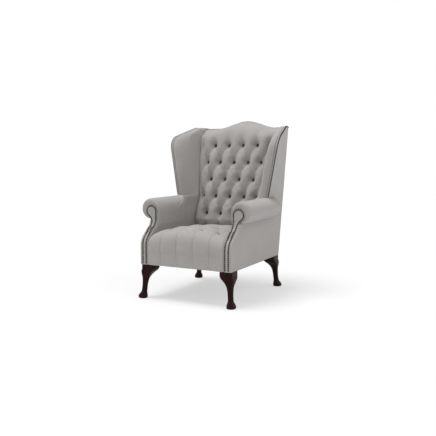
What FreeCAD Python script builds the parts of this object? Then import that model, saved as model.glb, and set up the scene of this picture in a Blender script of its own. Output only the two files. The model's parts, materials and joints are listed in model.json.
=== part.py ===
import FreeCAD
import Part
import Sketcher
import math
import os

# High-back wing chair, millimetres. +Z is up, -Y is the front, and left is -X.
# The origin lies on the floor under the middle of the chair.

doc = FreeCAD.newDocument("WingChair")
sheet = doc.addObject("Spreadsheet::Sheet", "Sizes")
V = FreeCAD.Vector


class Q:
    """A size that keeps its value beside the expression that it came from."""

    def __init__(self, value, text):
        self.value = value
        self.text = text

    def __add__(self, other):
        other = q(other)
        return Q(self.value + other.value, "(%s + %s)" % (self.text, other.text))

    def __radd__(self, other):
        return q(other) + self

    def __sub__(self, other):
        other = q(other)
        return Q(self.value - other.value, "(%s - %s)" % (self.text, other.text))

    def __rsub__(self, other):
        return q(other) - self

    def __mul__(self, other):
        other = q(other)
        return Q(self.value * other.value, "(%s * %s)" % (self.text, other.text))

    def __rmul__(self, other):
        return q(other) * self

    def __truediv__(self, other):
        other = q(other)
        return Q(self.value / other.value, "(%s / %s)" % (self.text, other.text))

    def __neg__(self):
        return Q(-self.value, "(0 - %s)" % self.text)


def q(number):
    return number if isinstance(number, Q) else Q(float(number), repr(float(number)))


def sine(angle):
    return Q(math.sin(math.radians(angle.value)), "sin(%s)" % angle.text)


def cosine(angle):
    return Q(math.cos(math.radians(angle.value)), "cos(%s)" % angle.text)


def tangent(angle):
    return sine(angle) / cosine(angle)


def root(number):
    return Q(math.sqrt(number.value), "sqrt(%s)" % number.text)


def size(alias, number):
    """Puts one driving size on the sheet and gives it back as a Q."""
    row = size.row = getattr(size, "row", 0) + 1
    sheet.set("A%d" % row, alias)
    sheet.set("B%d" % row, str(number))
    sheet.setAlias("B%d" % row, alias)
    return Q(float(number), "Sizes.%s" % alias)


# Driving sizes: the whole chair
chair_height = size("chair_height", 1100)
front_reach = size("front_reach", 431.3)
base_half_width = size("base_half_width", 305)
base_depth = size("base_depth", 712)
back_rake = size("back_rake", 10.4)
seam_gap = size("seam_gap", 0.3)
overrun = size("overrun", 60)

# Driving sizes: legs
leg_height = size("leg_height", 208)
leg_block = size("leg_block", 80)
leg_block_height = size("leg_block_height", 28)
leg_ankle = size("leg_ankle", 33)
leg_foot = size("leg_foot", 56)
leg_sweep = size("leg_sweep", 34)
leg_inset = size("leg_inset", 10)

# Driving sizes: hardwood frame
rail_height = size("rail_height", 95)
rail_thickness = size("rail_thickness", 30)
post_depth = size("post_depth", 45)
post_width = size("post_width", 35)
top_rail_height = size("top_rail_height", 90)
middle_rail_height = size("middle_rail_height", 60)
middle_rail_level = size("middle_rail_level", 235)
arm_rail_height = size("arm_rail_height", 66)
tack_rail_height = size("tack_rail_height", 40)
tack_rail_level = size("tack_rail_level", 335)
corner_block_side = size("corner_block_side", 72)
corner_block_height = size("corner_block_height", 60)
bolt_diameter = size("bolt_diameter", 8)
bolt_fit = size("bolt_fit", 0.4)
bolt_grip = size("bolt_grip", 24)
bolt_head = size("bolt_head", 18)
bolt_head_height = size("bolt_head_height", 6)
wing_board = size("wing_board", 22)
wing_wrap = size("wing_wrap", 16)

# Driving sizes: webbing and cloths
web_width = size("web_width", 50)
web_thickness = size("web_thickness", 2)
cloth_thickness = size("cloth_thickness", 1)
cover_thickness = size("cover_thickness", 1.5)
cover_margin = size("cover_margin", 2)
web_end = size("web_end", 6)
seat_web_pitch = size("seat_web_pitch", 90)
seat_web_start = size("seat_web_start", 140)
seat_web_step = size("seat_web_step", 130)
back_web_pitch = size("back_web_pitch", 110)
back_web_start = size("back_web_start", 150)
back_web_step = size("back_web_step", 150)

# Driving sizes: skins of the sides and the back
side_skin = size("side_skin", 13)
back_skin = size("back_skin", 8)
side_seam_level = size("side_seam_level", 471.7)

# Driving sizes: arms
arm_inset = size("arm_inset", 53)
arm_setback = size("arm_setback", 110)
arm_neck_level = size("arm_neck_level", 490)
arm_sweep_radius = size("arm_sweep_radius", 80)
arm_sweep_angle = size("arm_sweep_angle", 50)
arm_roll_radius = size("arm_roll_radius", 65)
arm_roll_overhang = size("arm_roll_overhang", 3)
arm_roll_setback = size("arm_roll_setback", 97)
arm_roll_front_round = size("arm_roll_front_round", 18)
arm_roll_rear_round = size("arm_roll_rear_round", 50)
arm_wedge_setback = size("arm_wedge_setback", 292)
facing_board = size("facing_board", 8)
facing_head_radius = size("facing_head_radius", 36.5)
facing_inset = size("facing_inset", 44)
facing_head_level = size("facing_head_level", 523)
facing_neck_turn = size("facing_neck_turn", 55)
stump_inset = size("stump_inset", 5)
stump_depth = size("stump_depth", 45)
stump_foot_depth = size("stump_foot_depth", 70)

# Driving sizes: crease between the inside back, the arms and the wings
crease_inset_low = size("crease_inset_low", 73)
crease_inset_waist = size("crease_inset_waist", 111)
crease_inset_top = size("crease_inset_top", 9)
waist_level = size("waist_level", 600)
crease_setback = size("crease_setback", 160)

# Driving sizes: wings
wing_reach = size("wing_reach", 242)
wing_roll = size("wing_roll", 52)
wing_flare = size("wing_flare", 0.267)
wing_top_drop = size("wing_top_drop", 40)
wing_shoulder_drop = size("wing_shoulder_drop", 197)
wing_shoulder_radius = size("wing_shoulder_radius", 95)
wing_shoulder_turn = size("wing_shoulder_turn", 71)
wing_lean = size("wing_lean", 10)
wing_edge_round = size("wing_edge_round", 24)
wing_crease_behind = size("wing_crease_behind", 43)
wing_peak_behind = size("wing_peak_behind", 23)
wing_peak_drop = size("wing_peak_drop", 46)

# Driving sizes: seat
seat_front_pad = size("seat_front_pad", 15)
seat_crown_level = size("seat_crown_level", 437)
seat_side_drop = size("seat_side_drop", 40)
seat_roll_radius = size("seat_roll_radius", 48)
seat_front_drop = size("seat_front_drop", 14)
seat_crown_y = size("seat_crown_y", 190)
seat_rear_drop = size("seat_rear_drop", 30)
seat_panel_share = size("seat_panel_share", 0.4365)
seat_panel_swell = size("seat_panel_swell", 5)
seat_row_share = size("seat_row_share", 0.146)
seat_start_share = size("seat_start_share", 0.1826)
seat_groove = size("seat_groove", 3)
seat_groove_depth = size("seat_groove_depth", 5)
seat_well_depth = size("seat_well_depth", 14)

# Driving sizes: inside back
face_rake = size("face_rake", 16.26)
face_setback = size("face_setback", 209)
face_foot_level = size("face_foot_level", 405)
tuft_share = size("tuft_share", 0.534)
tuft_row_share = size("tuft_row_share", 0.1676)
tuft_start_share = size("tuft_start_share", 0.131)
tuft_depth = size("tuft_depth", 30)
tuft_swell = size("tuft_swell", 16)
pleat_lap = size("pleat_lap", 0.4)
top_roll_radius = size("top_roll_radius", 213)
face_flat_share = size("face_flat_share", 0.85)
face_side_radius = size("face_side_radius", 228)
face_side_turn = size("face_side_turn", 42)
tuck_rise = size("tuck_rise", 50)
camel_radius = size("camel_radius", 225)
camel_half = size("camel_half", 95)
camel_hollow_radius = size("camel_hollow_radius", 293)
camel_slope = size("camel_slope", 16)
rail_cover = size("rail_cover", 34)

# Driving sizes: buttons and nail trim
button_diameter = size("button_diameter", 19)
button_height = size("button_height", 6)
well_mouth = size("well_mouth", 46)
nail_width = size("nail_width", 9)
nail_height = size("nail_height", 2)
doc.recompute()


def bind(thing, name, amount):
    """Sets a property and binds it to the sheet."""
    amount = q(amount)
    thing.setExpression(name, amount.text)


def place(thing, x=0, y=0, z=0, tilt=None, turn=None):
    """Binds a placement: an offset, with a tilt about X or a turn about Z."""
    if tilt is not None:
        thing.Placement = FreeCAD.Placement(V(), FreeCAD.Rotation(V(1, 0, 0), tilt.value))
        bind(thing, "Placement.Rotation.Angle", tilt)
    if turn is not None:
        thing.Placement = FreeCAD.Placement(V(), FreeCAD.Rotation(V(0, 0, 1), q(turn).value))
        bind(thing, "Placement.Rotation.Angle", turn)
    for axis, amount in (("x", x), ("y", y), ("z", z)):
        if q(amount).value != 0 or isinstance(amount, Q):
            bind(thing, "Placement.Base." + axis, amount)


def box(label, low, high, **where):
    """A block between two corners, in the frame that its placement gives."""
    block = doc.addObject("Part::Box", label)
    for name, a, b in zip(("Length", "Width", "Height"), low, high):
        bind(block, name, q(b) - a)
    if where:
        x, y, z = local(low, where.get("tilt"))
        place(block, where.get("x", 0) + x, where.get("y", 0) + y, where.get("z", 0) + z,
              where.get("tilt"))
    else:
        place(block, q(low[0]), q(low[1]), q(low[2]))
    return block


def local(point, tilt):
    """Turns a point by a tilt about X."""
    x, y, z = (q(c) for c in point)
    if tilt is None:
        return x, y, z
    return x, y * cosine(tilt) - z * sine(tilt), y * sine(tilt) + z * cosine(tilt)


def plane(body, role):
    return [f for f in body.Origin.OriginFeatures if f.Role == role][0]


def outline(body, name, role, points, height=0):
    """A fully constrained sketch. A point (x, y) starts a line; (x, y, radius, turn) starts an arc.

    The turn is 1 for an arc that bulges to the right of its chord, and -1 to the left.
    """
    sketch = body.newObject("Sketcher::SketchObject", name)
    sketch.AttachmentSupport = [(plane(body, role), "")]
    sketch.MapMode = "FlatFace"
    if q(height).value != 0:
        bind(sketch, "AttachmentOffset.Base.z", height)
    points = [tuple(q(c) if i < 3 else c for i, c in enumerate(p)) for p in points]
    count = len(points)
    first = []
    last = []
    for i, p in enumerate(points):
        n = points[(i + 1) % count]
        a = V(p[0].value, p[1].value, 0)
        b = V(n[0].value, n[1].value, 0)
        if len(p) == 2:
            sketch.addGeometry(Part.LineSegment(a, b), False)
            first.append(1)
            last.append(2)
            continue
        radius = p[2].value
        chord = b - a
        half = chord.Length / 2
        side = V(chord.y, -chord.x, 0).normalize()
        centre = (a + b) / 2 - side * math.sqrt(max(radius ** 2 - half ** 2, 0)) * p[3]
        start, end = (a, b) if p[3] == 1 else (b, a)
        angles = [math.atan2(c.y - centre.y, c.x - centre.x) for c in (start, end)]
        if angles[1] < angles[0]:
            angles[1] += 2 * math.pi
        sketch.addGeometry(Part.ArcOfCircle(Part.Circle(centre, V(0, 0, 1), radius), *angles), False)
        first.append(1 if p[3] == 1 else 2)
        last.append(2 if p[3] == 1 else 1)
    for i in range(count):
        n = (i + 1) % count
        sketch.addConstraint(Sketcher.Constraint("Coincident", i, last[i], n, first[n]))
    for i, p in enumerate(points):
        for kind, amount in (("DistanceX", p[0]), ("DistanceY", p[1])):
            k = sketch.addConstraint(Sketcher.Constraint(kind, -1, 1, i, first[i], amount.value))
            if "Sizes" in amount.text:
                sketch.setExpression("Constraints[%d]" % k, amount.text)
        if len(p) > 2:
            k = sketch.addConstraint(Sketcher.Constraint("Radius", i, p[2].value))
            sketch.setExpression("Constraints[%d]" % k, p[2].text)
    return sketch


def prism(label, role, points, start, length, **where):
    """A body with one padded outline, from start along its plane's own row axis."""
    body = doc.addObject("PartDesign::Body", label)
    backwards = role == "XZ_Plane"
    sketch = outline(body, label + "_outline", role, points, -q(start) if backwards else start)
    pad = body.newObject("PartDesign::Pad", label + "_pad")
    pad.Profile = sketch
    bind(pad, "Length", length)
    pad.Reversed = backwards
    if where:
        place(body, **where)
    return body


def loft(label, role, sections, ruled, **where):
    """A body lofted through outlines, each given with its height over the plane."""
    body = doc.addObject("PartDesign::Body", label)
    sketches = [
        outline(body, "%s_section_%d" % (label, i), role, points, height)
        for i, (height, points) in enumerate(sections)
    ]
    feature = body.newObject("PartDesign::AdditiveLoft", label + "_loft")
    feature.Profile = sketches[0]
    feature.Sections = sketches[1:]
    feature.Ruled = ruled
    if where:
        place(body, **where)
    return body


def group(label, parts):
    """Separate solids that share one node."""
    if len(parts) == 1:
        return parts[0]
    many = doc.addObject("Part::MultiFuse", label)
    many.Shapes = parts
    return many


def common(label, *parts):
    shared = doc.addObject("Part::MultiCommon", label)
    shared.Shapes = list(parts)
    return shared


def cut(label, base, tool):
    result = doc.addObject("Part::Cut", label)
    result.Base = base
    result.Tool = tool
    return result


def mirrored(label, source):
    """The same piece on the left side."""
    twin = doc.addObject("Part::Mirroring", label)
    twin.Source = source
    twin.Normal = V(1, 0, 0)
    return twin


nodes = {}


def node(name, thing):
    thing.Label = name
    nodes[name] = thing
    return thing


def pair(name, thing):
    """The right-hand piece and its mirror image."""
    node(name + "_right", thing)
    node(name + "_left", mirrored(name + "_left", thing))
    return thing


# Levels and places that several pieces share
front_y = -front_reach
rear_y = base_depth - front_reach
face_foot_y = rear_y - face_setback
crease_y = rear_y - crease_setback
wing_front_y = rear_y - wing_reach
wing_crease_y = rear_y + wing_crease_behind
wing_peak_y = rear_y + wing_peak_behind
arm_wedge_y = rear_y - arm_wedge_setback
wing_top_level = chair_height - wing_top_drop
wing_peak_level = chair_height - wing_peak_drop
wing_shoulder_level = chair_height - wing_shoulder_drop
skin_inside = base_half_width - side_skin
inside_arm = base_half_width - arm_inset
facing_inside = base_half_width - facing_inset
facing_outside = skin_inside
crease_half_low = base_half_width - crease_inset_low
crease_half_waist = base_half_width - crease_inset_waist
crease_half_top = base_half_width - crease_inset_top
rail_inside = skin_inside - rail_thickness
rail_top = leg_height + rail_height
deck_level = rail_top + web_thickness * 2 + cloth_thickness
front_rail_y = front_y + seat_front_pad
post_front = -(back_skin + post_depth)
web_front = post_front - web_thickness * 2
block_x = base_half_width - leg_block / 2
front_block_y = front_y + leg_inset + leg_block / 2
rear_block_y = rear_y - leg_block / 2
back_frame = dict(x=0, y=rear_y, z=leg_height, tilt=-back_rake)
face_frame = dict(x=0, y=face_foot_y, z=face_foot_level, tilt=-face_rake)


def outer_back_y(level):
    """Where the outside back lies at a height."""
    return rear_y + (level - leg_height) * tangent(back_rake)


def face_y(depth, level):
    """Where the raked face of the inside back, less a depth, lies at a height."""
    return face_foot_y + depth / cosine(face_rake) + (level - face_foot_level) * tangent(face_rake)


def cylinder(label, radius, height, x, y, z, tilt=None):
    rod = doc.addObject("Part::Cylinder", label)
    bind(rod, "Radius", radius)
    bind(rod, "Height", height)
    place(rod, q(x), q(y), q(z), tilt=tilt)
    return rod


# Cabriole legs: sawn to one pattern from two sides, with a turned pad foot
# Each share pair is a level under the block, then a place along the outward sweep
knee_end_share = (0.66, 0.72)
bracket_end_share = (0.5, 0.72)
ankle_end_share = (0.2, 0.92)
foot_start_share = (0.06, 1.0)
knee_swell_share = 0.07
ankle_hollow_share = 0.04
bracket_hollow_share = 0.05
block_corner_share = 0.12
# Pad foot: shares of its height and of its half width
foot_height_share = 0.24
foot_shares = [(0.0, 0.93), (0.2, 1.0), (0.5, 0.91), (1.0, 0.6)]


def arc_radius(chord, rise):
    return (chord * chord / 4 + rise * rise) / (rise * 2)


def sawn_side(sign):
    """One sawn face of a leg: the knee's swell outside, the bracket inside, down to the foot."""
    top = leg_height - leg_block_height
    half = leg_block / 2

    def place_at(share, side):
        return leg_sweep * share[1] + leg_ankle / 2 * side, top * share[0]

    knee = place_at(knee_end_share, 1)
    ankle = place_at(ankle_end_share, 1)
    bracket = place_at(bracket_end_share, -1)
    knee_run = top * (1 - knee_end_share[0])
    ankle_run = top * (knee_end_share[0] - ankle_end_share[0])
    bracket_run = top * (1 - bracket_end_share[0])
    points = [
        (-half, top, arc_radius(bracket_run, bracket_run * bracket_hollow_share), -1),
        bracket,
        place_at(ankle_end_share, -1),
        place_at(foot_start_share, -1),
        place_at(foot_start_share, 1),
        ankle + (arc_radius(ankle_run, ankle_run * ankle_hollow_share), -1),
        knee + (arc_radius(knee_run, knee_run * knee_swell_share), 1),
        (half, top),
    ]
    return [(p[0] * sign, p[1]) if len(p) == 2 else (p[0] * sign, p[1], p[2], p[3] * sign) for p in points]


def turned_foot(label):
    """The pad foot, turned round the foot of the sweep."""
    body = doc.addObject("PartDesign::Body", label)
    height = (leg_height - leg_block_height) * foot_height_share
    profile = [(leg_foot / 2 * width, height * level) for level, width in foot_shares]
    sketch = outline(body, label + "_half", "XZ_Plane", [(q(0), q(0))] + profile + [(q(0), height)])
    turned = body.newObject("PartDesign::Revolution", label + "_turned")
    turned.Profile = sketch
    turned.ReferenceAxis = (sketch, ["V_Axis"])
    turned.Angle = 360
    place(body, leg_sweep, -leg_sweep)
    return body


def leg_form(label):
    """A leg about the middle of its block, with its foot swept to the front right."""
    half = leg_block / 2
    room = leg_block * 2
    sawn = common(label + "_sawn",
                  prism(label + "_sawn_front", "XZ_Plane", sawn_side(1), -room, room * 2),
                  prism(label + "_sawn_side", "YZ_Plane", sawn_side(-1), -room, room * 2))
    corner = half * block_corner_share
    flat = half - corner
    block = prism(label + "_block", "XY_Plane", [
        (-flat, -half), (flat, -half), (half, -flat), (half, flat),
        (flat, half), (-flat, half), (-half, flat), (-half, -flat),
    ], leg_height - leg_block_height, leg_block_height)
    whole = doc.addObject("Part::MultiFuse", label)
    whole.Shapes = [sawn, block, turned_foot(label + "_foot")]
    return whole


def leg(label, x, y, turn, bolt_x, bolt_y):
    body = leg_form(label + "_carved")
    place(body, x, y, 0, turn=turn)
    hole = cylinder(label + "_hole", (bolt_diameter + bolt_fit) / 2, bolt_grip + overrun,
                    bolt_x, bolt_y, leg_height - bolt_grip)
    node(label, cut(label + "_bored", body, hole))


# Camel-shaped top edge, seen from the front
camel_sine = camel_half / camel_radius
camel_cosine = root(1 - camel_sine * camel_sine)
camel_hollow_x = (camel_radius + camel_hollow_radius) * camel_sine


def camel_dip(top, inset):
    rise = (camel_radius + camel_hollow_radius) * camel_cosine
    return top - camel_radius + rise - camel_hollow_radius - inset


def camel(top, inset, half, bottom):
    """The hump with a hollow on each side, down to a level, inset from the full outline."""
    hump = camel_radius - inset
    hollow = camel_hollow_radius + inset
    shoulder_x = hump * camel_sine
    shoulder = top - camel_radius + hump * camel_cosine
    dip = camel_dip(top, inset)
    points = [(-half, bottom), (half, bottom), (half, dip)]
    points += [(camel_hollow_x, dip, hollow, -1), (shoulder_x, shoulder, hump, 1)]
    points += [(-shoulder_x, shoulder, hollow, -1), (-camel_hollow_x, dip), (-half, dip)]
    return points


# Hardwood frame of the back, in the frame of the raked outside back
back_top = (chair_height - leg_height - back_skin * sine(back_rake)) / cosine(back_rake)
post_top = camel_dip(back_top, rail_cover)
post_inside = skin_inside - post_width
post = pair("back_post", box("post", (post_inside, post_front, 0), (skin_inside, -back_skin, post_top),
                             **back_frame))
node("back_top_rail", prism("top_rail", "XZ_Plane",
                            camel(back_top, rail_cover, post_inside, post_top - top_rail_height),
                            post_front, post_depth, **back_frame))
node("back_lower_rail", box("lower_rail", (-post_inside, post_front, middle_rail_level),
                            (post_inside, post_front + rail_thickness,
                             middle_rail_level + middle_rail_height), **back_frame))
node("outside_back", prism("back_skin", "XZ_Plane", camel(back_top, 0, skin_inside - seam_gap, q(0)),
                           -back_skin, back_skin, **back_frame))

# Hardwood frame of the seat
stump_rear = front_y + facing_board + stump_foot_depth
node("front_seat_rail", box("front_rail", (-(facing_inside + stump_inset), front_rail_y, leg_height),
                            (facing_inside + stump_inset, front_rail_y + rail_thickness, rail_top)))
rear_rail_y = rear_y - back_skin
node("rear_seat_rail", box("rear_rail", (-post_inside, rear_rail_y - rail_thickness, leg_height),
                           (post_inside, rear_rail_y, rail_top)))
side_rail = box("side_rail", (rail_inside, stump_rear, leg_height), (skin_inside, rear_rail_y, rail_top))
pair("side_seat_rail", cut("side_rail_fitted", side_rail, post))

# Legs bolted up through the corner blocks
bolt_inset_share = 0.3
bolt_inset = leg_block * bolt_inset_share
corners = [
    ("front", 1, -1, front_block_y, 0, 270),
    ("rear", 1, 1, rear_block_y, 90, 180),
]
bolts = []
corner_blocks = []
for end, side_x, side_y, block_y, turn_right, turn_left in corners:
    bolt_y = block_y - bolt_inset * side_y
    rail_face = front_rail_y + rail_thickness if side_y < 0 else rear_y - back_skin - rail_thickness
    for side, sign, turn in (("right", 1, turn_right), ("left", -1, turn_left)):
        label = "%s_leg_%s" % (end, side)
        bolt_x = (block_x - bolt_inset) * sign
        leg(label, block_x * sign, block_y, turn, bolt_x, bolt_y)
        tip = rail_inside * sign
        block = prism(label + "_corner", "XY_Plane", [
            (tip, rail_face),
            (tip, rail_face - corner_block_side * side_y),
            (tip - corner_block_side * sign, rail_face),
        ], leg_height, corner_block_height)
        hole = cylinder(label + "_corner_hole", (bolt_diameter + bolt_fit) / 2, corner_block_height * 3,
                        bolt_x, bolt_y, leg_height - corner_block_height)
        fitted = cut(label + "_corner_fitted", block, nodes["back_post_" + side])
        corner_blocks.append(cut(label + "_corner_bored", fitted, hole))
        shank = cylinder(label + "_shank", bolt_diameter / 2, bolt_grip + corner_block_height,
                         bolt_x, bolt_y, leg_height - bolt_grip)
        head = cylinder(label + "_head", bolt_head / 2, bolt_head_height,
                        bolt_x, bolt_y, leg_height + corner_block_height)
        bolts.append(group(label + "_bolt", [shank, head]))
node("corner_blocks", group("corner_block_set", corner_blocks))
node("leg_bolts", group("leg_bolt_set", bolts))

# Webbing and burlap
lengthways = []
for i in range(5):
    x = seat_web_pitch * (i - 2)
    lengthways.append(box("seat_web_%d" % i, (x - web_width / 2, front_rail_y, rail_top),
                          (x + web_width / 2, rear_rail_y, rail_top + web_thickness)))
for i in range(4):
    y = front_y + seat_web_start + seat_web_step * i
    lengthways.append(box("seat_cross_web_%d" % i,
                          (-skin_inside + web_end, y - web_width / 2, rail_top + web_thickness),
                          (skin_inside - web_end, y + web_width / 2, rail_top + web_thickness * 2)))
node("seat_webbing", group("seat_web_set", lengthways))
node("seat_burlap", box("burlap", (-inside_arm, front_rail_y, deck_level - cloth_thickness),
                        (inside_arm, outer_back_y(deck_level) + web_front / cosine(back_rake), deck_level)))
straps = []
for i in range(5):
    s = back_web_start + back_web_step * i
    straps.append(box("back_web_%d" % i, (-post_inside - web_end, post_front - web_thickness, s),
                      (post_inside + web_end, post_front, s + web_width), **back_frame))
for i in range(3):
    x = back_web_pitch * (i - 1)
    straps.append(box("back_upright_web_%d" % i, (x - web_width / 2, web_front, middle_rail_level),
                      (x + web_width / 2, post_front - web_thickness, post_top), **back_frame))
node("back_webbing", group("back_web_set", straps))
notch_x = block_x - leg_block / 2 - cover_margin
notch_front = front_block_y + leg_block / 2 + cover_margin
notch_rear = rear_block_y - leg_block / 2 - cover_margin
side_edge = base_half_width - cover_margin
cover = [(notch_x, front_rail_y), (notch_x, notch_front), (side_edge, notch_front)]
cover += [(side_edge, notch_rear), (notch_x, notch_rear), (notch_x, rear_rail_y)]
cover += [(-x, y) for x, y in reversed(cover)]
node("bottom_cover", prism("cambric", "XY_Plane", cover, leg_height - cover_thickness, cover_thickness))


# Arms
arm_front_y = front_y + arm_setback
arm_rear_y = rear_y - arm_roll_setback
arm_roll_level = side_seam_level + seam_gap + arm_roll_radius
sweep_cosine = cosine(arm_sweep_angle)
sweep_sine = sine(arm_sweep_angle)
sweep_run = arm_setback - arm_sweep_radius * 2 * (1 - sweep_cosine)
sweep_start_level = arm_neck_level - arm_sweep_radius * sweep_sine * 2 - sweep_run / tangent(arm_sweep_angle)


def sweep(shift, bottom, top):
    """The S-shaped front edge of an arm, seen from the side, from bottom to top."""
    y = front_y + shift
    hook = arm_sweep_radius * (1 - sweep_cosine)
    rise = arm_sweep_radius * sweep_sine
    return [
        (y, bottom),
        (y, sweep_start_level, arm_sweep_radius, -1),
        (y + hook, sweep_start_level + rise),
        (y + arm_setback - hook, arm_neck_level - rise, arm_sweep_radius, 1),
        (y + arm_setback, arm_neck_level),
        (y + arm_setback, top),
    ]


def keyhole(inset, bottom):
    """The front of an arm: a straight stem with a round scroll head."""
    head = facing_head_radius - inset
    inside = facing_inside + inset
    outside = facing_outside - inset
    centre = facing_inside + facing_head_radius
    neck_x = centre + head * cosine(facing_neck_turn)
    neck_level = facing_head_level - head * sine(facing_neck_turn)
    hollow = (neck_x - outside) / (1 - cosine(facing_neck_turn))
    return [
        (inside, bottom),
        (outside, bottom),
        (outside, neck_level - hollow * sine(facing_neck_turn), hollow, -1),
        (neck_x, neck_level, head, 1),
        (centre, facing_head_level + head, head, 1),
        (inside, facing_head_level),
    ]


arm_top = arm_roll_level + arm_roll_radius + overrun
arm_reach = arm_setback + stump_foot_depth + overrun


def sweep_band(label, near, far, bottom, start, length):
    """A curved band along the arm's front edge, between two shifts of it."""
    band = sweep(near, bottom, arm_top)
    back = sweep(far, bottom, arm_top)
    points = band[:]
    points += [back[5], back[4] + (arm_sweep_radius, -1), back[3][:2], back[2] + (arm_sweep_radius, 1)]
    points += [back[1][:2], back[0]]
    return prism(label, "YZ_Plane", points, start, length)


facing_width = facing_head_radius * 2 + overrun
facing_start = facing_inside - overrun / 2
facing_form = common("facing_form",
                     prism("facing_outline", "XZ_Plane", keyhole(seam_gap, leg_height), front_y, arm_reach),
                     sweep_band("facing_sweep", q(0), facing_board, leg_height, facing_start, facing_width))
pair("arm_facing", facing_form)
trim_ring = cut("arm_trim_ring",
                prism("arm_trim_outside", "XZ_Plane", keyhole(seam_gap, leg_height), front_y - overrun,
                      arm_reach + overrun),
                prism("arm_trim_inside", "XZ_Plane", keyhole(nail_width, leg_height - overrun),
                      front_y - overrun * 2, arm_reach + overrun * 3))
pair("arm_nail_trim", common("arm_trim", trim_ring,
                             sweep_band("arm_trim_sweep", -nail_height, q(0), leg_height, facing_start,
                                        facing_width)))
stump_neck_y = arm_front_y + facing_board + stump_depth
stump_side = sweep(facing_board + seam_gap, leg_height, arm_top)
stump_side += [(stump_neck_y, arm_top), (stump_neck_y, arm_neck_level),
               (stump_rear, sweep_start_level + arm_sweep_radius), (stump_rear, leg_height)]
stump = common("stump",
               prism("stump_outline", "XZ_Plane", keyhole(stump_inset, leg_height), front_y, arm_reach),
               prism("stump_side", "YZ_Plane", stump_side, facing_start, facing_width))
pair("arm_stump", stump)
rail_lap = back_skin + post_depth / 2
arm_rail_top = arm_roll_level + arm_rail_height / 3
tack_rail_top = tack_rail_level + tack_rail_height
arm_rail = cut("arm_rail_fitted",
               box("arm_rail", (rail_inside, stump_neck_y, arm_rail_top - arm_rail_height),
                   (skin_inside, outer_back_y(arm_rail_top) - rail_lap, arm_rail_top)), post)
pair("arm_rail", arm_rail)
pair("arm_tack_rail", cut("tack_rail_fitted",
                          box("tack_rail", (rail_inside, stump_rear, tack_rail_level),
                              (skin_inside, outer_back_y(tack_rail_top) - rail_lap, tack_rail_top)), post))


def arm_roll(label, grow):
    """The round top of an arm, with a small round at the front and a large one behind."""
    body = doc.addObject("PartDesign::Body", label)
    r = arm_roll_radius + grow
    start = arm_front_y - grow
    end = arm_rear_y + grow
    sketch = outline(body, label + "_half", "XY_Plane", [
        (q(0), start),
        (r - arm_roll_front_round, start, arm_roll_front_round, 1),
        (r, start + arm_roll_front_round),
        (r, end - arm_roll_rear_round, arm_roll_rear_round, 1),
        (r - arm_roll_rear_round, end),
        (q(0), end),
    ])
    turned = body.newObject("PartDesign::Revolution", label + "_turned")
    turned.Profile = sketch
    turned.ReferenceAxis = (sketch, ["V_Axis"])
    turned.Angle = 360
    place(body, base_half_width + arm_roll_overhang, q(0), arm_roll_level)
    return body


roll_room = arm_roll("arm_roll_room", seam_gap)
slab_rear = outer_back_y(deck_level) + web_front / cosine(back_rake) - cloth_thickness
slab_side = sweep(q(0), leg_height, arm_roll_level)
slab_side += [(slab_rear, arm_roll_level), (slab_rear, deck_level + seam_gap),
              (front_rail_y - seam_gap, deck_level + seam_gap), (front_rail_y - seam_gap, leg_height)]
slab = prism("inside_arm_slab", "YZ_Plane", slab_side, inside_arm, rail_inside - seam_gap - inside_arm)


def wedge_section(level, crease):
    half = crease + seam_gap
    return level, [(rail_inside, arm_wedge_y), (rail_inside, slab_rear), (half, slab_rear), (half, crease_y)]


wedge = loft("arm_wedge", "XY_Plane", [
    wedge_section(deck_level + seam_gap, crease_half_low),
    wedge_section(waist_level - seam_gap, crease_half_waist),
], True)
arm_pad_form = doc.addObject("Part::MultiFuse", "arm_pad_form")
arm_pad_form.Shapes = [arm_roll("arm_roll", q(0)), slab, wedge]

# Wings: their outside is ruled between a straight foot and a flared top
wing_foot_level = side_seam_level + seam_gap
wing_foot_y = arm_rear_y - arm_roll_rear_round / 2


def wing_x(level, y, inset):
    """The outside of a wing at a height and depth, less an inset."""
    share = (level - wing_foot_level) / (wing_top_level - wing_foot_level)
    return base_half_width + (outer_back_y(level) - y) * wing_flare * share - inset


def crease_half(level):
    share = (level - waist_level) / (wing_top_level - waist_level)
    return crease_half_waist + (crease_half_top - crease_half_waist) * share


def wing_sheet(label, near, far, rear, bottom):
    """A ruled sheet along the outside of a wing, between two insets from it."""
    front = wing_front_y - overrun
    sections = []
    for level in (bottom, wing_top_level):
        end = outer_back_y(level) + rear
        sections.append((level, [
            (wing_x(level, front, near), front),
            (wing_x(level, end, near), end),
            (wing_x(level, end, far), end),
            (wing_x(level, front, far), front),
        ]))
    return loft(label, "XY_Plane", sections, True)


def wing_side(label, inset, bottom, foot_y, margin=0):
    """The side view of a wing: upright front edge, round shoulder and a straight run to the peak."""
    radius = wing_shoulder_radius - inset
    centre_y = wing_front_y + wing_lean + wing_shoulder_radius
    turned_y = centre_y - radius * cosine(wing_shoulder_turn)
    turned_level = wing_shoulder_level + radius * sine(wing_shoulder_turn)
    peak = wing_peak_level - inset / sine(wing_shoulder_turn)
    rear = outer_back_y(wing_top_level) + overrun + margin
    points = []
    if foot_y is not None:
        points += [(foot_y, bottom), (foot_y, waist_level)]
    else:
        points += [(wing_front_y + inset, bottom)]
    if foot_y is not None:
        points += [(wing_front_y + inset, waist_level)]
    points += [
        (wing_front_y + wing_lean + inset, wing_shoulder_level, radius, -1),
        (turned_y, turned_level),
        (wing_peak_y, peak),
        (rear, peak),
        (rear, bottom),
    ]
    return prism(label, "YZ_Plane", points, crease_half_low - overrun * 2, base_half_width)


skin_sheet = common("wing_skin_form", wing_sheet("wing_skin_sheet", q(0), side_skin, q(0), wing_foot_level),
                    wing_side("wing_skin_side", q(0), wing_foot_level, wing_foot_y))
pair("outside_wing", cut("wing_skin_fitted", skin_sheet, roll_room))
board_inset = side_skin + seam_gap
board_bottom = arm_rail_top


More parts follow.
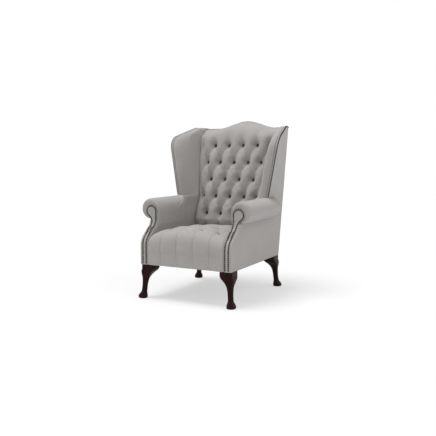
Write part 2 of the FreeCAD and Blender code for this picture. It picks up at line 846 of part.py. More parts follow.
def wing_board_form(label, grow):
    """The board inside a wing, or the room for it where it grows by a gap all round."""
    near = board_inset - grow
    far = board_inset + wing_board + grow
    front = wing_front_y - overrun
    sections = []
    for level in (board_bottom, wing_top_level):
        end = outer_back_y(level) + post_front / cosine(back_rake) + grow
        inner = wing_x(level, end, far) if level is board_bottom else crease_half(level) + seam_gap * 2 - grow
        sections.append((level, [
            (wing_x(level, front, near), front),
            (wing_x(level, end, near), end),
            (inner, end),
            (wing_x(level, front, far), front),
        ]))
    return common(label, loft(label + "_sheet", "XY_Plane", sections, True),
                  wing_side(label + "_side", wing_wrap - grow, board_bottom, None))


pair("wing_frame", wing_board_form("wing_board", q(0)))
board_room = wing_board_form("wing_board_room", seam_gap)


def wing_pad_section(level, crease_depth):
    """A wing's padding from above: rounded front edge, inside face, and the crease beside the back."""
    front = wing_front_y
    end = outer_back_y(level) + web_front / cosine(back_rake) - cloth_thickness
    half = crease_half(level) + seam_gap
    edge = wing_x(level, front, wing_roll)
    run_x = half - edge
    run_y = crease_depth - front
    length = root(run_x * run_x + run_y * run_y)
    unit_x = run_x / length
    unit_y = run_y / length
    widen = root((1 - unit_x) * (1 - unit_x) + unit_y * unit_y)
    along = root((1 + unit_x) * (1 + unit_x) + unit_y * unit_y)
    return level, [
        (edge + wing_edge_round, front),
        (wing_x(level, front, board_inset), front),
        (wing_x(level, end, board_inset), end),
        (half, end),
        (half, crease_depth),
        (edge + unit_x * wing_edge_round, front + unit_y * wing_edge_round,
         wing_edge_round * widen / along, 1),
    ]


wing_pad_sheet = loft("wing_pad_sheet", "XY_Plane", [
    wing_pad_section(waist_level, crease_y),
    wing_pad_section(wing_top_level, wing_crease_y),
], True)
wing_pad_form = common("wing_pad_form", wing_pad_sheet,
                       wing_side("wing_pad_side", q(0), waist_level - overrun, None))
wing_tools = doc.addObject("Part::MultiFuse", "wing_pad_tools")
wing_tools.Shapes = [roll_room, board_room]
pair("wing_pad", cut("wing_pad_fitted", wing_pad_form, wing_tools))
wing_ring = cut("wing_trim_ring", wing_side("wing_trim_outside", q(0), waist_level + overrun / 20, None),
                wing_side("wing_trim_inside", nail_width, waist_level - overrun, None, overrun))
pair("wing_nail_trim", common("wing_trim", wing_ring,
                              wing_sheet("wing_trim_sheet", -nail_height, q(0), q(0), wing_foot_level)))
arm_tools = doc.addObject("Part::MultiFuse", "arm_pad_tools")
arm_tools.Shapes = [
    prism("arm_head_room", "XZ_Plane", keyhole(q(0), leg_height - overrun), front_y - overrun,
          arm_reach + overrun),
    stump, arm_rail, board_room,
]
pair("arm_pad", cut("arm_pad_fitted", arm_pad_form, arm_tools))

# Outside of the arms
side_points = sweep(q(0), leg_height, side_seam_level + overrun)
side_points += [(outer_back_y(side_seam_level + overrun), side_seam_level + overrun), (rear_y, leg_height)]
side_panel = prism("side_panel", "YZ_Plane", side_points, skin_inside, side_skin)
side_limit = box("side_limit", (skin_inside - overrun, front_y - overrun, leg_height),
                 (skin_inside + overrun, rear_y + overrun * 2, side_seam_level))
pair("outside_arm", common("side_panel_form", side_panel, side_limit))
node("back_nail_trim", cut("back_trim_band",
                           prism("back_trim_outside", "XZ_Plane",
                                 camel(back_top, 0, skin_inside - seam_gap, q(0)), q(0), nail_height,
                                 **back_frame),
                           prism("back_trim_inside", "XZ_Plane",
                                 camel(back_top, nail_width, skin_inside + overrun, -overrun),
                                 -overrun, overrun * 2, **back_frame)))

# Seat: a crowned top, a rolled front edge and a front of five swelling panels
seat_half = inside_arm - seam_gap
seat_panel = inside_arm * seat_panel_share
seat_row_pitch = base_depth * seat_row_share
seat_first_row = base_depth * seat_start_share
back_rise = chair_height - face_foot_level
tuft_pitch = crease_half_waist * tuft_share
tuft_row_pitch = back_rise * tuft_row_share
tuft_first_row = back_rise * tuft_start_share
face_flat_half = crease_half_waist * face_flat_share
seat_crown_back = front_y + seat_crown_y
seat_roll_level = seat_crown_level - seat_front_drop
panel_radius = (seat_panel * seat_panel / 4 + seat_panel_swell * seat_panel_swell) / (seat_panel_swell * 2)
crown_radius = (seat_half * seat_half + seat_side_drop * seat_side_drop) / (seat_side_drop * 2)
front_run = seat_crown_y - seat_roll_radius
front_radius = (front_run * front_run + seat_front_drop * seat_front_drop) / (seat_front_drop * 2)
seat_rear_level = seat_crown_level - seat_rear_drop
seat_rear_y = face_y(tuft_depth - seam_gap, seat_rear_level)
rear_run = seat_rear_y - seat_crown_back
rear_radius = (rear_run * rear_run + seat_rear_drop * seat_rear_drop) / (seat_rear_drop * 2)


def seat_form(label, sink):
    """The seat's shape, moved back and down by a groove's depth where sink says so."""
    y = front_y + sink
    z = -q(sink)
    side = prism(label + "_side", "YZ_Plane", [
        (y, leg_height),
        (y, seat_roll_level - seat_roll_radius + z, seat_roll_radius, -1),
        (y + seat_roll_radius, seat_roll_level + z, front_radius, -1),
        (seat_crown_back + sink, seat_crown_level + z, rear_radius, -1),
        (seat_rear_y + sink, seat_rear_level + z),
        (face_y(tuft_depth - seam_gap, deck_level) + sink, deck_level + seam_gap),
        (front_rail_y - seam_gap, deck_level + seam_gap),
        (front_rail_y - seam_gap, leg_height),
    ], -seat_half, seat_half * 2)
    across = prism(label + "_across", "XZ_Plane", [
        (-seat_half, leg_height), (seat_half, leg_height),
        (seat_half, seat_crown_level - seat_side_drop + z, crown_radius, 1),
        (-seat_half, seat_crown_level - seat_side_drop + z),
    ], front_y - overrun, base_depth)
    edge = y + seat_panel_swell
    front = [(-seat_half, edge, panel_radius, 1)]
    front += [(seat_panel * share, edge, panel_radius, 1) for share in seam_shares]
    front += [(seat_half, edge), (seat_half, rear_y), (-seat_half, rear_y)]
    above = prism(label + "_above", "XY_Plane", front, leg_height, chair_height - leg_height)
    return common(label, side, across, above)


seam_shares = [-1.5, -0.5, 0.5, 1.5]
seat_body = seat_form("seat_form", q(0))
walls = []
for share in seam_shares:
    walls.append(box("seat_pleat", (seat_panel * share - seat_groove / 2, front_y - overrun, leg_height),
                     (seat_panel * share + seat_groove / 2, front_y + seat_first_row, chair_height)))
seat_last_row = 3
diagonal = root(seat_panel * seat_panel / 4 + seat_row_pitch * seat_row_pitch)
diagonal_turn = Q(math.degrees(math.atan2(seat_row_pitch.value, seat_panel.value / 2)),
                  "atan2(%s; %s / 2)" % (seat_row_pitch.text, seat_panel.text))
for row, share, rows in ((0, -1.5, 3), (0, -0.5, 3), (0, 0.5, 3), (0, 1.5, 1.25), (0.75, -2.125, 2.25)):
    for sign in (1, -1):
        wall = doc.addObject("Part::Box", "seat_diagonal")
        bind(wall, "Length", diagonal * rows)
        bind(wall, "Width", seat_groove)
        bind(wall, "Height", chair_height - deck_level)
        x = seat_panel * share * sign - (seat_panel * rows / 2 if sign < 0 else 0)
        y = front_y + seat_first_row + seat_row_pitch * (row + (rows if sign < 0 else 0))
        place(wall, x, y, deck_level, turn=diagonal_turn * sign)
        walls.append(wall)
wall_set = group("seat_walls", walls)
grooves = cut("seat_grooves", wall_set, seat_form("seat_core", seat_groove_depth))
seat_wells = []
seat_buttons = []
for row in range(seat_last_row + 1):
    shares = seam_shares if row % 2 == 0 else (-1, 0, 1)
    y = front_y + seat_first_row + seat_row_pitch * row
    behind = y - seat_crown_back
    for share in shares:
        x = seat_panel * share
        sag = x * x / (crown_radius * 2) + behind * behind / ((front_radius if row == 0 else rear_radius) * 2)
        floor = seat_crown_level - sag - seat_well_depth
        well = doc.addObject("Part::Cone", "seat_well")
        bind(well, "Radius1", button_diameter / 2 + seam_gap)
        bind(well, "Radius2", well_mouth / 2)
        bind(well, "Height", seat_well_depth * 2)
        place(well, x, y, floor)
        seat_wells.append(well)
        seat_buttons.append(cylinder("seat_button", button_diameter / 2, button_height, x, y, floor))
node("seat_buttons", group("seat_button_set", seat_buttons))
seat_room = doc.addObject("Part::MultiFuse", "seat_room")
seat_room.Shapes = seat_wells + [grooves, wedge, mirrored("wedge_left", wedge)]
node("seat_cushion", cut("seat_fitted", seat_body, seat_room))

# Inside back: swelling flutes that cross between the buttons as diamonds
stuffing = face_foot_y + tuft_depth * 8


tuft_rows = 4
flutes_across = 7
tuft_top = tuft_first_row + tuft_row_pitch * tuft_rows


def flute_section(first, count, lap):
    """A row of swelling flutes from above, from the first cusp on, in tuft pitches."""
    radius = (tuft_pitch * tuft_pitch / 4 + tuft_swell * tuft_swell) / (tuft_swell * 2)
    cusps = [tuft_pitch * (first + i) for i in range(count + 1)]
    points = [(x, tuft_swell + lap, radius, 1) for x in cusps[:-1]]
    return points + [(cusps[-1], tuft_swell + lap), (cusps[-1], stuffing), (cusps[0], stuffing)]


def slanted(label, sign, lap):
    """Flutes that lean half a pitch to one side with each row, from one row below the lowest on."""
    body = doc.addObject("PartDesign::Body", label)
    lean = -(tuft_rows + 1) / 2 if sign > 0 else 1 / 2
    section = flute_section(lean - flutes_across / 2, flutes_across + tuft_rows // 2, lap)
    sketch = outline(body, label + "_outline", "XY_Plane", section, tuft_first_row - tuft_row_pitch)
    pad = body.newObject("PartDesign::Pad", label + "_pad")
    pad.Profile = sketch
    pad.UseCustomVector = True
    pad.Direction = V(sign, 0, 1)
    bind(pad, "Direction.x", tuft_pitch * sign / 2)
    bind(pad, "Direction.z", tuft_row_pitch)
    bind(pad, "Length", tuft_row_pitch * (tuft_rows + 2))
    place(body, **face_frame)
    return body


# The flutes that lean left lie deeper by the lap of the cloth, and so do the upright ones
diamond_band = box("diamond_band", (-base_half_width, -overrun, tuft_first_row),
                   (base_half_width, stuffing - overrun, tuft_top), **face_frame)
diamonds = common("diamonds", slanted("flutes_right", 1, q(0)), slanted("flutes_left", -1, pleat_lap),
                  diamond_band)
upright = flute_section(-flutes_across / 2, flutes_across, pleat_lap)
upright_low = prism("flutes_low", "XY_Plane", upright, -tuft_row_pitch * 2,
                    tuft_row_pitch * 2 + tuft_first_row, **face_frame)
upright_high = prism("flutes_high", "XY_Plane", upright, tuft_top, tuft_row_pitch * 3, **face_frame)
tufts = doc.addObject("Part::MultiFuse", "tufts")
tufts.Shapes = [upright_low, diamonds, upright_high]

# The side view of the back's face: tucked in at the foot, rolled over at the top
roll_turn = 90 - face_rake
roll_depth = top_roll_radius * (1 - cosine(roll_turn))
roll_rise = top_roll_radius * sine(roll_turn)
roll_end = (outer_back_y(chair_height) - face_foot_y) * sine(face_rake)
roll_end = roll_end + (chair_height - face_foot_level) * cosine(face_rake)
tuck_radius = (tuft_depth * tuft_depth + tuck_rise * tuck_rise) / (tuft_depth * 2)
side_view = prism("back_side_view", "YZ_Plane", [
    (tuft_depth, -tuft_row_pitch * 2),
    (tuft_depth, q(0), tuck_radius, -1),
    (q(0), tuck_rise),
    (q(0), roll_end - roll_rise, top_roll_radius, -1),
    (roll_depth, roll_end),
    (stuffing, roll_end + (stuffing - roll_depth) * tangent(face_rake)),
    (stuffing, -tuft_row_pitch * 2),
], -base_half_width, base_half_width * 2, **face_frame)
side_x = face_flat_half + face_side_radius * sine(face_side_turn)
side_depth = face_side_radius * (1 - cosine(face_side_turn))
plan_view = prism("back_plan_view", "XY_Plane", [
    (-side_x, side_depth, face_side_radius, 1),
    (-face_flat_half, q(0)),
    (face_flat_half, q(0), face_side_radius, 1),
    (side_x, side_depth), (side_x, stuffing), (-side_x, stuffing),
], -tuft_row_pitch * 2, tuft_row_pitch * 11, **face_frame)
top_half = crease_half(chair_height + overrun)
hourglass = prism("back_hourglass", "XZ_Plane", [
    (-crease_half_low, deck_level + seam_gap), (crease_half_low, deck_level + seam_gap),
    (crease_half_waist, waist_level), (top_half, chair_height + overrun),
    (-top_half, chair_height + overrun), (-crease_half_waist, waist_level),
], -front_reach, base_depth * 2)
camel_cut = prism("back_camel", "XZ_Plane", camel(q(0), 0, base_half_width * 2, -chair_height),
                  -base_depth, base_depth * 2, x=0, y=outer_back_y(chair_height), z=chair_height,
                  tilt=camel_slope)
back_form = common("back_form", tufts, side_view, plan_view, hourglass, camel_cut)
rail_room = prism("back_rail_room", "XZ_Plane",
                  camel(back_top, rail_cover - seam_gap, base_half_width, -overrun * 2),
                  web_front - seam_gap, base_depth, **back_frame)
skin_room = box("back_skin_room", (-base_half_width, -back_skin - seam_gap, -overrun * 2),
                (base_half_width, base_depth, chair_height), **back_frame)
back_wells = []
back_buttons = []
# Buttons of each row across the back, in tuft pitches; the creases draw in the outer ones
back_row_shares = [
    (-1.5, -0.5, 0.5, 1.5),
    (-1.75, -1, 0, 1, 1.75),
    (-1.5, -0.5, 0.5, 1.5),
    (-1.93, -1, 0, 1, 1.93),
    (-1.5, -0.5, 0.5, 1.5),
]
for row, shares in enumerate(back_row_shares):
    for share in shares:
        x, y, z = local((tuft_pitch * share, tuft_depth, tuft_first_row + tuft_row_pitch * row), -face_rake)
        spot = (x, face_foot_y + y, face_foot_level + z)
        well = doc.addObject("Part::Cone", "back_well")
        bind(well, "Radius1", button_diameter / 2 + seam_gap)
        bind(well, "Radius2", well_mouth / 2)
        bind(well, "Height", tuft_depth + seam_gap)
        place(well, *spot, tilt=90 - face_rake)
        back_wells.append(well)
        back_buttons.append(cylinder("back_button", button_diameter / 2, button_height, *spot,
                                     tilt=90 - face_rake))
node("back_buttons", group("back_button_set", back_buttons))
back_room = doc.addObject("Part::MultiFuse", "back_room")
back_room.Shapes = back_wells + [rail_room, skin_room]
node("back_cushion", cut("back_fitted", back_form, back_room))

doc.recompute()
broken = [o.Label for o in doc.Objects if "Invalid" in o.State or "Error" in o.State]
for name, thing in nodes.items():
    if thing.Shape.isNull() or not thing.Shape.isValid():
        broken.append(name)
if broken:
    raise RuntimeError("These objects failed: " + ", ".join(broken))
os.makedirs("parts", exist_ok=True)
for name, thing in nodes.items():
    thing.Shape.exportStep("parts/%s.step" % name)
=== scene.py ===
import bpy
import bmesh
import json
import math
import numpy as np
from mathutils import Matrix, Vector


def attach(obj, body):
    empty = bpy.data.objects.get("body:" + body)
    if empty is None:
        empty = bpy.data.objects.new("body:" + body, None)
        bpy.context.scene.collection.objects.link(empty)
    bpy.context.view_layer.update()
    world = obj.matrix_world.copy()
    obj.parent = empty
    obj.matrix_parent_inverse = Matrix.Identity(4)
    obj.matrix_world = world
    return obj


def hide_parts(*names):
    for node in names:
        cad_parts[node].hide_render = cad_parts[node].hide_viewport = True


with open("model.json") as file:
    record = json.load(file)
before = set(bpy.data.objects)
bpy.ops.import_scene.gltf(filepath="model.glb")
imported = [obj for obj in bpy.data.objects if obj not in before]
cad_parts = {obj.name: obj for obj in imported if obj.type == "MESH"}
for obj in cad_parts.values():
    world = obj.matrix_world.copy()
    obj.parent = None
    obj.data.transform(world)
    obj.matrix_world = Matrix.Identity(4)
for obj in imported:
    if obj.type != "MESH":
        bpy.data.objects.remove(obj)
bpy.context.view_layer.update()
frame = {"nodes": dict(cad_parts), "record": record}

nodes = frame["nodes"]

# Shared sizes, in metres: x runs across the chair, y to its rear and z up
FRONT_Y = -0.4313
REAR_Y = 0.2807
LEG_TOP = 0.208
SIDE_X = 0.305
BACK_RAKE = math.radians(10.4)

# The crease beside the inside back: its half width at three heights
CREASE_FOOT_Z, CREASE_FOOT = 0.308, 0.232
CREASE_WAIST_Z, CREASE_WAIST = 0.600, 0.218
CREASE_TOP_Z, CREASE_TOP = 1.060, 0.296


def share_between(low, high, value):
    return (value - low) / (high - low)


def smoothstep(low, high, value):
    t = np.clip(share_between(low, high, value), 0.0, 1.0)
    return t * t * (3 - 2 * t)


def outer_back_y(z):
    """The depth of the chair's rear face at a height."""
    return REAR_Y + (z - LEG_TOP) * math.tan(BACK_RAKE)


def crease_half(z):
    """Half the width of the inside back, from its crease with one side to the other."""
    below = share_between(CREASE_FOOT_Z, CREASE_WAIST_Z, z)
    above = share_between(CREASE_WAIST_Z, CREASE_TOP_Z, z)
    return np.where(z < CREASE_WAIST_Z, CREASE_FOOT + (CREASE_WAIST - CREASE_FOOT) * below,
                    CREASE_WAIST + (CREASE_TOP - CREASE_WAIST) * above)


# Materials
def new_material(name):
    material = bpy.data.materials.new(name)
    material.use_nodes = True
    tree = material.node_tree
    tree.nodes.clear()
    out = tree.nodes.new("ShaderNodeOutputMaterial")
    shader = tree.nodes.new("ShaderNodeBsdfPrincipled")
    tree.links.new(shader.outputs["BSDF"], out.inputs["Surface"])
    return material, tree, shader


def set_socket(tree, socket, value):
    """Links a socket to another node's output, or gives it a plain value."""
    if isinstance(value, bpy.types.NodeSocket):
        tree.links.new(value, socket)
    else:
        socket.default_value = value


def set_sockets(tree, node, values):
    for key, value in values.items():
        set_socket(tree, node.inputs[key], value)


def add_node(tree, kind, inputs, **settings):
    made = tree.nodes.new(kind)
    for key, value in settings.items():
        setattr(made, key, value)
    set_sockets(tree, made, inputs)
    return made


def combine(tree, operation, a, b):
    made = tree.nodes.new("ShaderNodeMath")
    made.operation = operation
    for socket, value in zip(made.inputs, (a, b)):
        set_socket(tree, socket, value)
    return made.outputs[0]


def weighted(tree, *terms):
    """The sum of values, each times its weight."""
    parts = [combine(tree, "MULTIPLY", value, weight) for value, weight in terms]
    total = parts[0]
    for part in parts[1:]:
        total = combine(tree, "ADD", total, part)
    return total


def offset(tree, factor, span, base):
    """The base value and a share of the factor on top."""
    return combine(tree, "ADD", combine(tree, "MULTIPLY", factor, span), base)


def ramp(tree, factor, stops):
    made = tree.nodes.new("ShaderNodeValToRGB")
    tree.links.new(factor, made.inputs["Fac"])
    elements = made.color_ramp.elements
    while len(elements) < len(stops):
        elements.new(0.5)
    for element, (position, colour) in zip(elements, stops):
        element.position = position
        element.color = (*colour, 1)
    return made.outputs["Color"]


def object_place(tree):
    return tree.nodes.new("ShaderNodeTexCoord").outputs["Object"]


def noise(tree, place, scale, detail, distortion=0.0):
    return add_node(tree, "ShaderNodeTexNoise", {
        "Vector": place, "Scale": scale, "Detail": detail, "Distortion": distortion,
    }).outputs["Fac"]


def bumped(tree, height, strength, distance):
    return add_node(tree, "ShaderNodeBump", {
        "Height": height, "Strength": strength, "Distance": distance,
    }).outputs["Normal"]


def seen_directly(tree):
    """1 where the camera, a mirror or a clear surface looks at it, and 0 where it only lights."""
    rays = tree.nodes.new("ShaderNodeLightPath").outputs
    mirrored = combine(tree, "MAXIMUM", rays["Is Camera Ray"], rays["Is Glossy Ray"])
    return combine(tree, "MAXIMUM", mirrored, rays["Is Transmission Ray"])


def shade(colour, share):
    return tuple(c * share for c in colour)


# The wave texture turns through this angle per metre at a scale of 1
WAVE_RADIANS = 20


def cloth_material(name, colour, thread, depth, sheen=0.25, mottle=0.06):
    """Woven cloth: threads crossing in three directions, loose fibres and slow changes of tone."""
    material, tree, shader = new_material(name)
    place = object_place(tree)
    bands = [add_node(tree, "ShaderNodeTexWave", {
        "Vector": place, "Scale": 2 * math.pi / (WAVE_RADIANS * thread), "Distortion": 0.6,
        "Detail": 1.0, "Detail Scale": 0.02,
    }, bands_direction=axis).outputs["Fac"] for axis in "XYZ"]
    both = combine(tree, "ADD", bands[0], bands[1])
    weave = combine(tree, "DIVIDE", combine(tree, "ADD", both, bands[2]), 3.0)
    fibre = noise(tree, place, 0.6 / thread, 3.0)
    slow = noise(tree, place, 9.0, 4.0)
    tone = weighted(tree, (weave, 0.12), (fibre, 0.58), (slow, 0.30))
    height = weighted(tree, (weave, 0.6), (fibre, 0.4))
    dark, light = shade(colour, 1 - mottle * 2), shade(colour, 1 + mottle)
    set_sockets(tree, shader, {
        "Base Color": ramp(tree, tone, [(0.25, dark), (0.5, colour), (0.75, light)]),
        "Roughness": offset(tree, fibre, 0.10, 0.86),
        "Sheen Weight": sheen,
        "Sheen Roughness": 0.55,
        "Specular IOR Level": 0.15,
        "Normal": bumped(tree, height, 0.35, depth),
    })
    return material


def wood_material(name, dark, light, stretch, roughness, coat, depth):
    """Timber: long grain along one axis, fine pores and slow changes of polish."""
    material, tree, shader = new_material(name)
    place = object_place(tree)
    mapping = add_node(tree, "ShaderNodeMapping", {"Vector": place, "Scale": stretch})
    pulled = mapping.outputs["Vector"]
    grain = noise(tree, pulled, 14.0, 6.0, distortion=1.2)
    pores = noise(tree, pulled, 120.0, 3.0)
    tone = weighted(tree, (grain, 0.75), (pores, 0.25))
    set_sockets(tree, shader, {
        "Base Color": ramp(tree, tone, [(0.3, dark), (0.7, light)]),
        "Roughness": offset(tree, noise(tree, place, 30.0, 4.0), 0.12, roughness - 0.06),
        "Specular IOR Level": 0.02,
        "Coat Weight": coat,
        "Coat IOR": 1.33,
        "Coat Roughness": 0.04,
        "Normal": bumped(tree, tone, 0.25, depth),
    })
    return material


def metal_material(name, dark, light, roughness):
    """Metal with a cloudy patina and fine scratches."""
    material, tree, shader = new_material(name)
    place = object_place(tree)
    patina = noise(tree, place, 160.0, 5.0)
    scratch = noise(tree, place, 900.0, 2.0)
    set_sockets(tree, shader, {
        "Base Color": ramp(tree, patina, [(0.35, dark), (0.7, light)]),
        "Metallic": 1.0,
        "Roughness": offset(tree, scratch, 0.2, roughness - 0.1),
        "Normal": bumped(tree, scratch, 0.2, 0.0002),
    })
    return material


UPHOLSTERY = (0.375, 0.360, 0.345)
# Painted shade: the buttons are covered in the upholstery cloth, darkened to this share for the
# shadow in the deep wells they sit in
BUTTON_PAINTED_SHADE = 0.17
ALONG_Y = (1, 0.15, 1)
ALONG_Z = (1, 1, 0.12)
fabric = cloth_material("upholstery_fabric", UPHOLSTERY, 0.0016, 0.0004, mottle=0.10)
# Button cloth: the upholstery colour with painted shade for the wells, not a darker cloth
button_fabric_painted_shade = cloth_material("button_fabric_painted_shade", shade(UPHOLSTERY, BUTTON_PAINTED_SHADE), 0.0013, 0.0003)
cambric = cloth_material("black_cambric", (0.02, 0.02, 0.022), 0.001, 0.0002, sheen=0.1)
burlap = cloth_material("burlap", (0.36, 0.26, 0.15), 0.003, 0.001)
webbing = cloth_material("jute_webbing", (0.32, 0.24, 0.14), 0.004, 0.001)
mahogany = wood_material("dark_mahogany", (0.009, 0.0009, 0.0007), (0.030, 0.0040, 0.0026),
                         ALONG_Z, roughness=0.22, coat=0.30, depth=0.0001)
frame_wood = wood_material("sawn_beech", (0.36, 0.22, 0.11), (0.62, 0.43, 0.25),
                           ALONG_Y, roughness=0.7, coat=0.0, depth=0.0004)
nail_metal = metal_material("antique_nail", (0.016, 0.011, 0.009), (0.060, 0.045, 0.036), 0.45)
steel = metal_material("bolt_steel", (0.35, 0.35, 0.36), (0.6, 0.6, 0.6), 0.4)

slot_material = {
    "fabric": fabric, "inner_cloth": cambric, "webbing": webbing, "dark_wood": mahogany,
    "frame_wood": frame_wood, "nail_metal": nail_metal, "steel": steel,
}
for part in frame["record"]["subparts"]:
    node_mesh = nodes[part["node"]].data
    node_mesh.materials.clear()
    node_mesh.materials.append(slot_material[part["material_slot"]])
nodes["seat_burlap"].data.materials[0] = burlap


# Mesh helpers
def add_object(name, data):
    made = bpy.data.objects.new(name, data)
    bpy.context.scene.collection.objects.link(made)
    return made


def finish_piece(name, mesh, material, replaced, soft=None):
    """Links a piece, gives it its material, and hides the CAD nodes that it stands for."""
    piece = add_object(name, mesh)
    mesh.materials.clear()
    mesh.materials.append(material)
    mesh.polygons.foreach_set("use_smooth", [True] * len(mesh.polygons))
    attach(piece, "root")
    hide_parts(*replaced)
    if soft is not None:
        fine = piece.modifiers.new("fine", "SUBSURF")
        fine.levels = 1
        fine.render_levels = 1
    return piece


def mirrored_mesh(mesh, name):
    made = mesh.copy()
    made.name = name
    points = coordinates(made)
    points[:, 0] *= -1
    set_coordinates(made, points)
    made.flip_normals()
    return made


def side_pieces(name, mesh, material, node, soft=None):
    """A piece on the right and its mirror image on the left."""
    other = mirrored_mesh(mesh, name + "_left")
    return [finish_piece(name + "_right", mesh, material, [node + "_right"], soft),
            finish_piece(name + "_left", other, material, [node + "_left"], soft)]


def grid_mesh(name, points, closed=False):
    """A mesh of quads over rows and columns of points."""
    rows, columns = points.shape[:2]
    index = np.arange(rows * columns).reshape(rows, columns)
    if closed:
        index = np.concatenate([index, index[:, :1]], axis=1)
    corners = [index[:-1, :-1], index[:-1, 1:], index[1:, 1:], index[1:, :-1]]
    quads = np.stack(corners, axis=-1).reshape(-1, 4)
    mesh = bpy.data.meshes.new(name)
    mesh.from_pydata(points.reshape(-1, 3).tolist(), [], quads.tolist())
    mesh.update()
    return mesh


def grid_normals(points):
    across = np.gradient(points, axis=1)
    along = np.gradient(points, axis=0)
    normals = np.cross(across, along)
    return normals / np.maximum(np.linalg.norm(normals, axis=2, keepdims=True), 1e-12)


def mesh_from_bmesh(name, bm):
    bmesh.ops.recalc_face_normals(bm, faces=bm.faces)
    mesh = bpy.data.meshes.new(name)
    bm.to_mesh(mesh)
    bm.free()
    return mesh


def capped_bmesh(mesh):
    """The mesh with its open ends closed."""
    bm = bmesh.new()
    bm.from_mesh(mesh)
    bmesh.ops.holes_fill(bm, edges=[e for e in bm.edges if e.is_boundary], sides=0)
    return bm


def triangulate_large(bm):
    bmesh.ops.triangulate(bm, faces=[f for f in bm.faces if len(f.verts) > 4])


def run_lengths(path):
    """How far along the path each of its points lies."""
    return np.concatenate([[0], np.cumsum(np.linalg.norm(np.diff(path, axis=0), axis=1))])


def points_at(path, lengths, where):
    return np.stack([np.interp(where, lengths, values) for values in path.T], axis=1)


def resample(path, count):
    """The path's points spread evenly along its length."""
    path = np.asarray(path, float)
    lengths = run_lengths(path)
    return points_at(path, lengths, np.linspace(0, lengths[-1], count))


def blur(values, width):
    """Softens a path along its length, its two ends kept."""
    reach = int(width * 3)
    kernel = np.exp(-0.5 * (np.arange(-reach, reach + 1) / width) ** 2)
    kernel /= kernel.sum()
    before = 2 * values[:1] - values[reach:0:-1]
    after = 2 * values[-1:] - values[-2:-reach - 2:-1]
    long = np.concatenate([before, values, after])
    return np.stack([np.convolve(column, kernel, mode="valid") for column in long.T], axis=1)


def mixed(one, two, weight):
    """From one path to the other, each point by its own weight."""
    return one * (1 - weight[:, None]) + two * weight[:, None]


def coordinates(mesh):
    flat = np.zeros(len(mesh.vertices) * 3, np.float64)
    mesh.vertices.foreach_get("co", flat)
    return flat.reshape(-1, 3)


def set_coordinates(mesh, points):
    mesh.vertices.foreach_set("co", points.reshape(-1).astype(np.float32))
    mesh.update()


def relax(mesh, weight, rounds):
    """Evens out the points by their neighbours, each by its own weight."""
    points = coordinates(mesh)
    size = len(points)
    ends = np.zeros(len(mesh.edges) * 2, np.int64)
    mesh.edges.foreach_get("vertices", ends)
    one, two = ends[::2], ends[1::2]
    count = np.bincount(one, minlength=size) + np.bincount(two, minlength=size)
    for _ in range(rounds):
        total = np.stack([np.bincount(one, values[two], size) + np.bincount(two, values[one], size)
                          for values in points.T], axis=1)
        points += (total / count[:, None] - points) * weight[:, None] * 0.5
    set_coordinates(mesh, points)


FILL_PRESSURE = 4.0
FILL_FRAMES = 20
HOLD_LEVELS = 5


def fill(mesh, held, cap, spare=0.0):
    """Swells a cover with pressure, as cloth with some to spare, and caps how far it moves."""
    start = coordinates(mesh)
    piece = add_object("filling", mesh)
    pins = piece.vertex_groups.new(name="held")
    for level in range(1, HOLD_LEVELS + 1):
        chosen = np.nonzero(np.round(held * HOLD_LEVELS) == level)[0]
        if len(chosen):
            pins.add(chosen.tolist(), level / HOLD_LEVELS, "REPLACE")
    cloth = piece.modifiers.new("cover", "CLOTH")
    cloth.settings.quality = 4
    cloth.settings.mass = 0.3
    cloth.settings.tension_stiffness = 12
    cloth.settings.compression_stiffness = 12
    cloth.settings.shear_stiffness = 5
    cloth.settings.bending_stiffness = 0.4
    cloth.settings.use_pressure = True
    cloth.settings.uniform_pressure_force = FILL_PRESSURE
    cloth.settings.effector_weights.gravity = 0
    cloth.settings.vertex_group_mass = "held"
    cloth.settings.shrink_min = -spare
    cloth.point_cache.frame_start = 1
    cloth.point_cache.frame_end = FILL_FRAMES
    for step in range(1, FILL_FRAMES + 1):
        bpy.context.scene.frame_set(step)
    settled = piece.evaluated_get(bpy.context.evaluated_depsgraph_get())
    done = bpy.data.meshes.new_from_object(settled)
    moved = coordinates(done) - start
    length = np.linalg.norm(moved, axis=1, keepdims=True)
    moved *= cap * np.tanh(length / cap) / np.maximum(length, 1e-9)
    bpy.data.meshes.remove(done)
    bpy.data.objects.remove(piece)
    set_coordinates(mesh, start + moved)
    bpy.context.scene.frame_set(1)


def add_dome(bm, centre, normal, radius, height, profile, sides, top, fold=0.0, spin=0.0):
    """A round head over rings, closed at its top; a fold makes its rim wavy."""
    normal = np.asarray(normal, float) / np.linalg.norm(normal)
    side = np.cross(normal, (0.0, 0.0, 1.0) if abs(normal[2]) < 0.9 else (1.0, 0.0, 0.0))
    side /= np.linalg.norm(side)
    up = np.cross(normal, side)
    rings = []
    for share, lift in profile:
        ring = []
        for i in range(sides):
            turn = 2 * math.pi * i / sides
            wave = 1 + fold * math.sin(turn * 5 + spin) * (share > 0.5)
            at = centre + (side * math.cos(turn) + up * math.sin(turn)) * radius * share * wave
            ring.append(bm.verts.new(at + normal * height * lift))
        rings.append(ring)
    for low, high in zip(rings, rings[1:]):
        for i in range(sides):
            bm.faces.new((low[i], low[(i + 1) % sides], high[(i + 1) % sides], high[i]))
    tip = bm.verts.new(centre + normal * height * top)
    for i in range(sides):
        bm.faces.new((rings[-1][i], rings[-1][(i + 1) % sides], tip))


BUTTON_PROFILE = [
    (1.0, -0.55), (1.04, -0.15), (1.0, 0.2), (0.88, 0.55), (0.66, 0.8), (0.38, 0.95), (0.14, 1.0),
]


def add_button(bm, centre, normal, radius, height, spin):
    """A cloth-covered button: a dome with a drawn-in rim and a few soft folds."""
    add_dome(bm, centre, normal, radius, height, BUTTON_PROFILE, 20, 1.01, fold=0.025, spin=spin)


# Deep buttoning: pillows between crossing pleats, which draw down to the buttons
PLEAT_SHARPNESS = 1.35
PLEAT_SHARE = 0.45
CROWN_SHAPE = 0.75


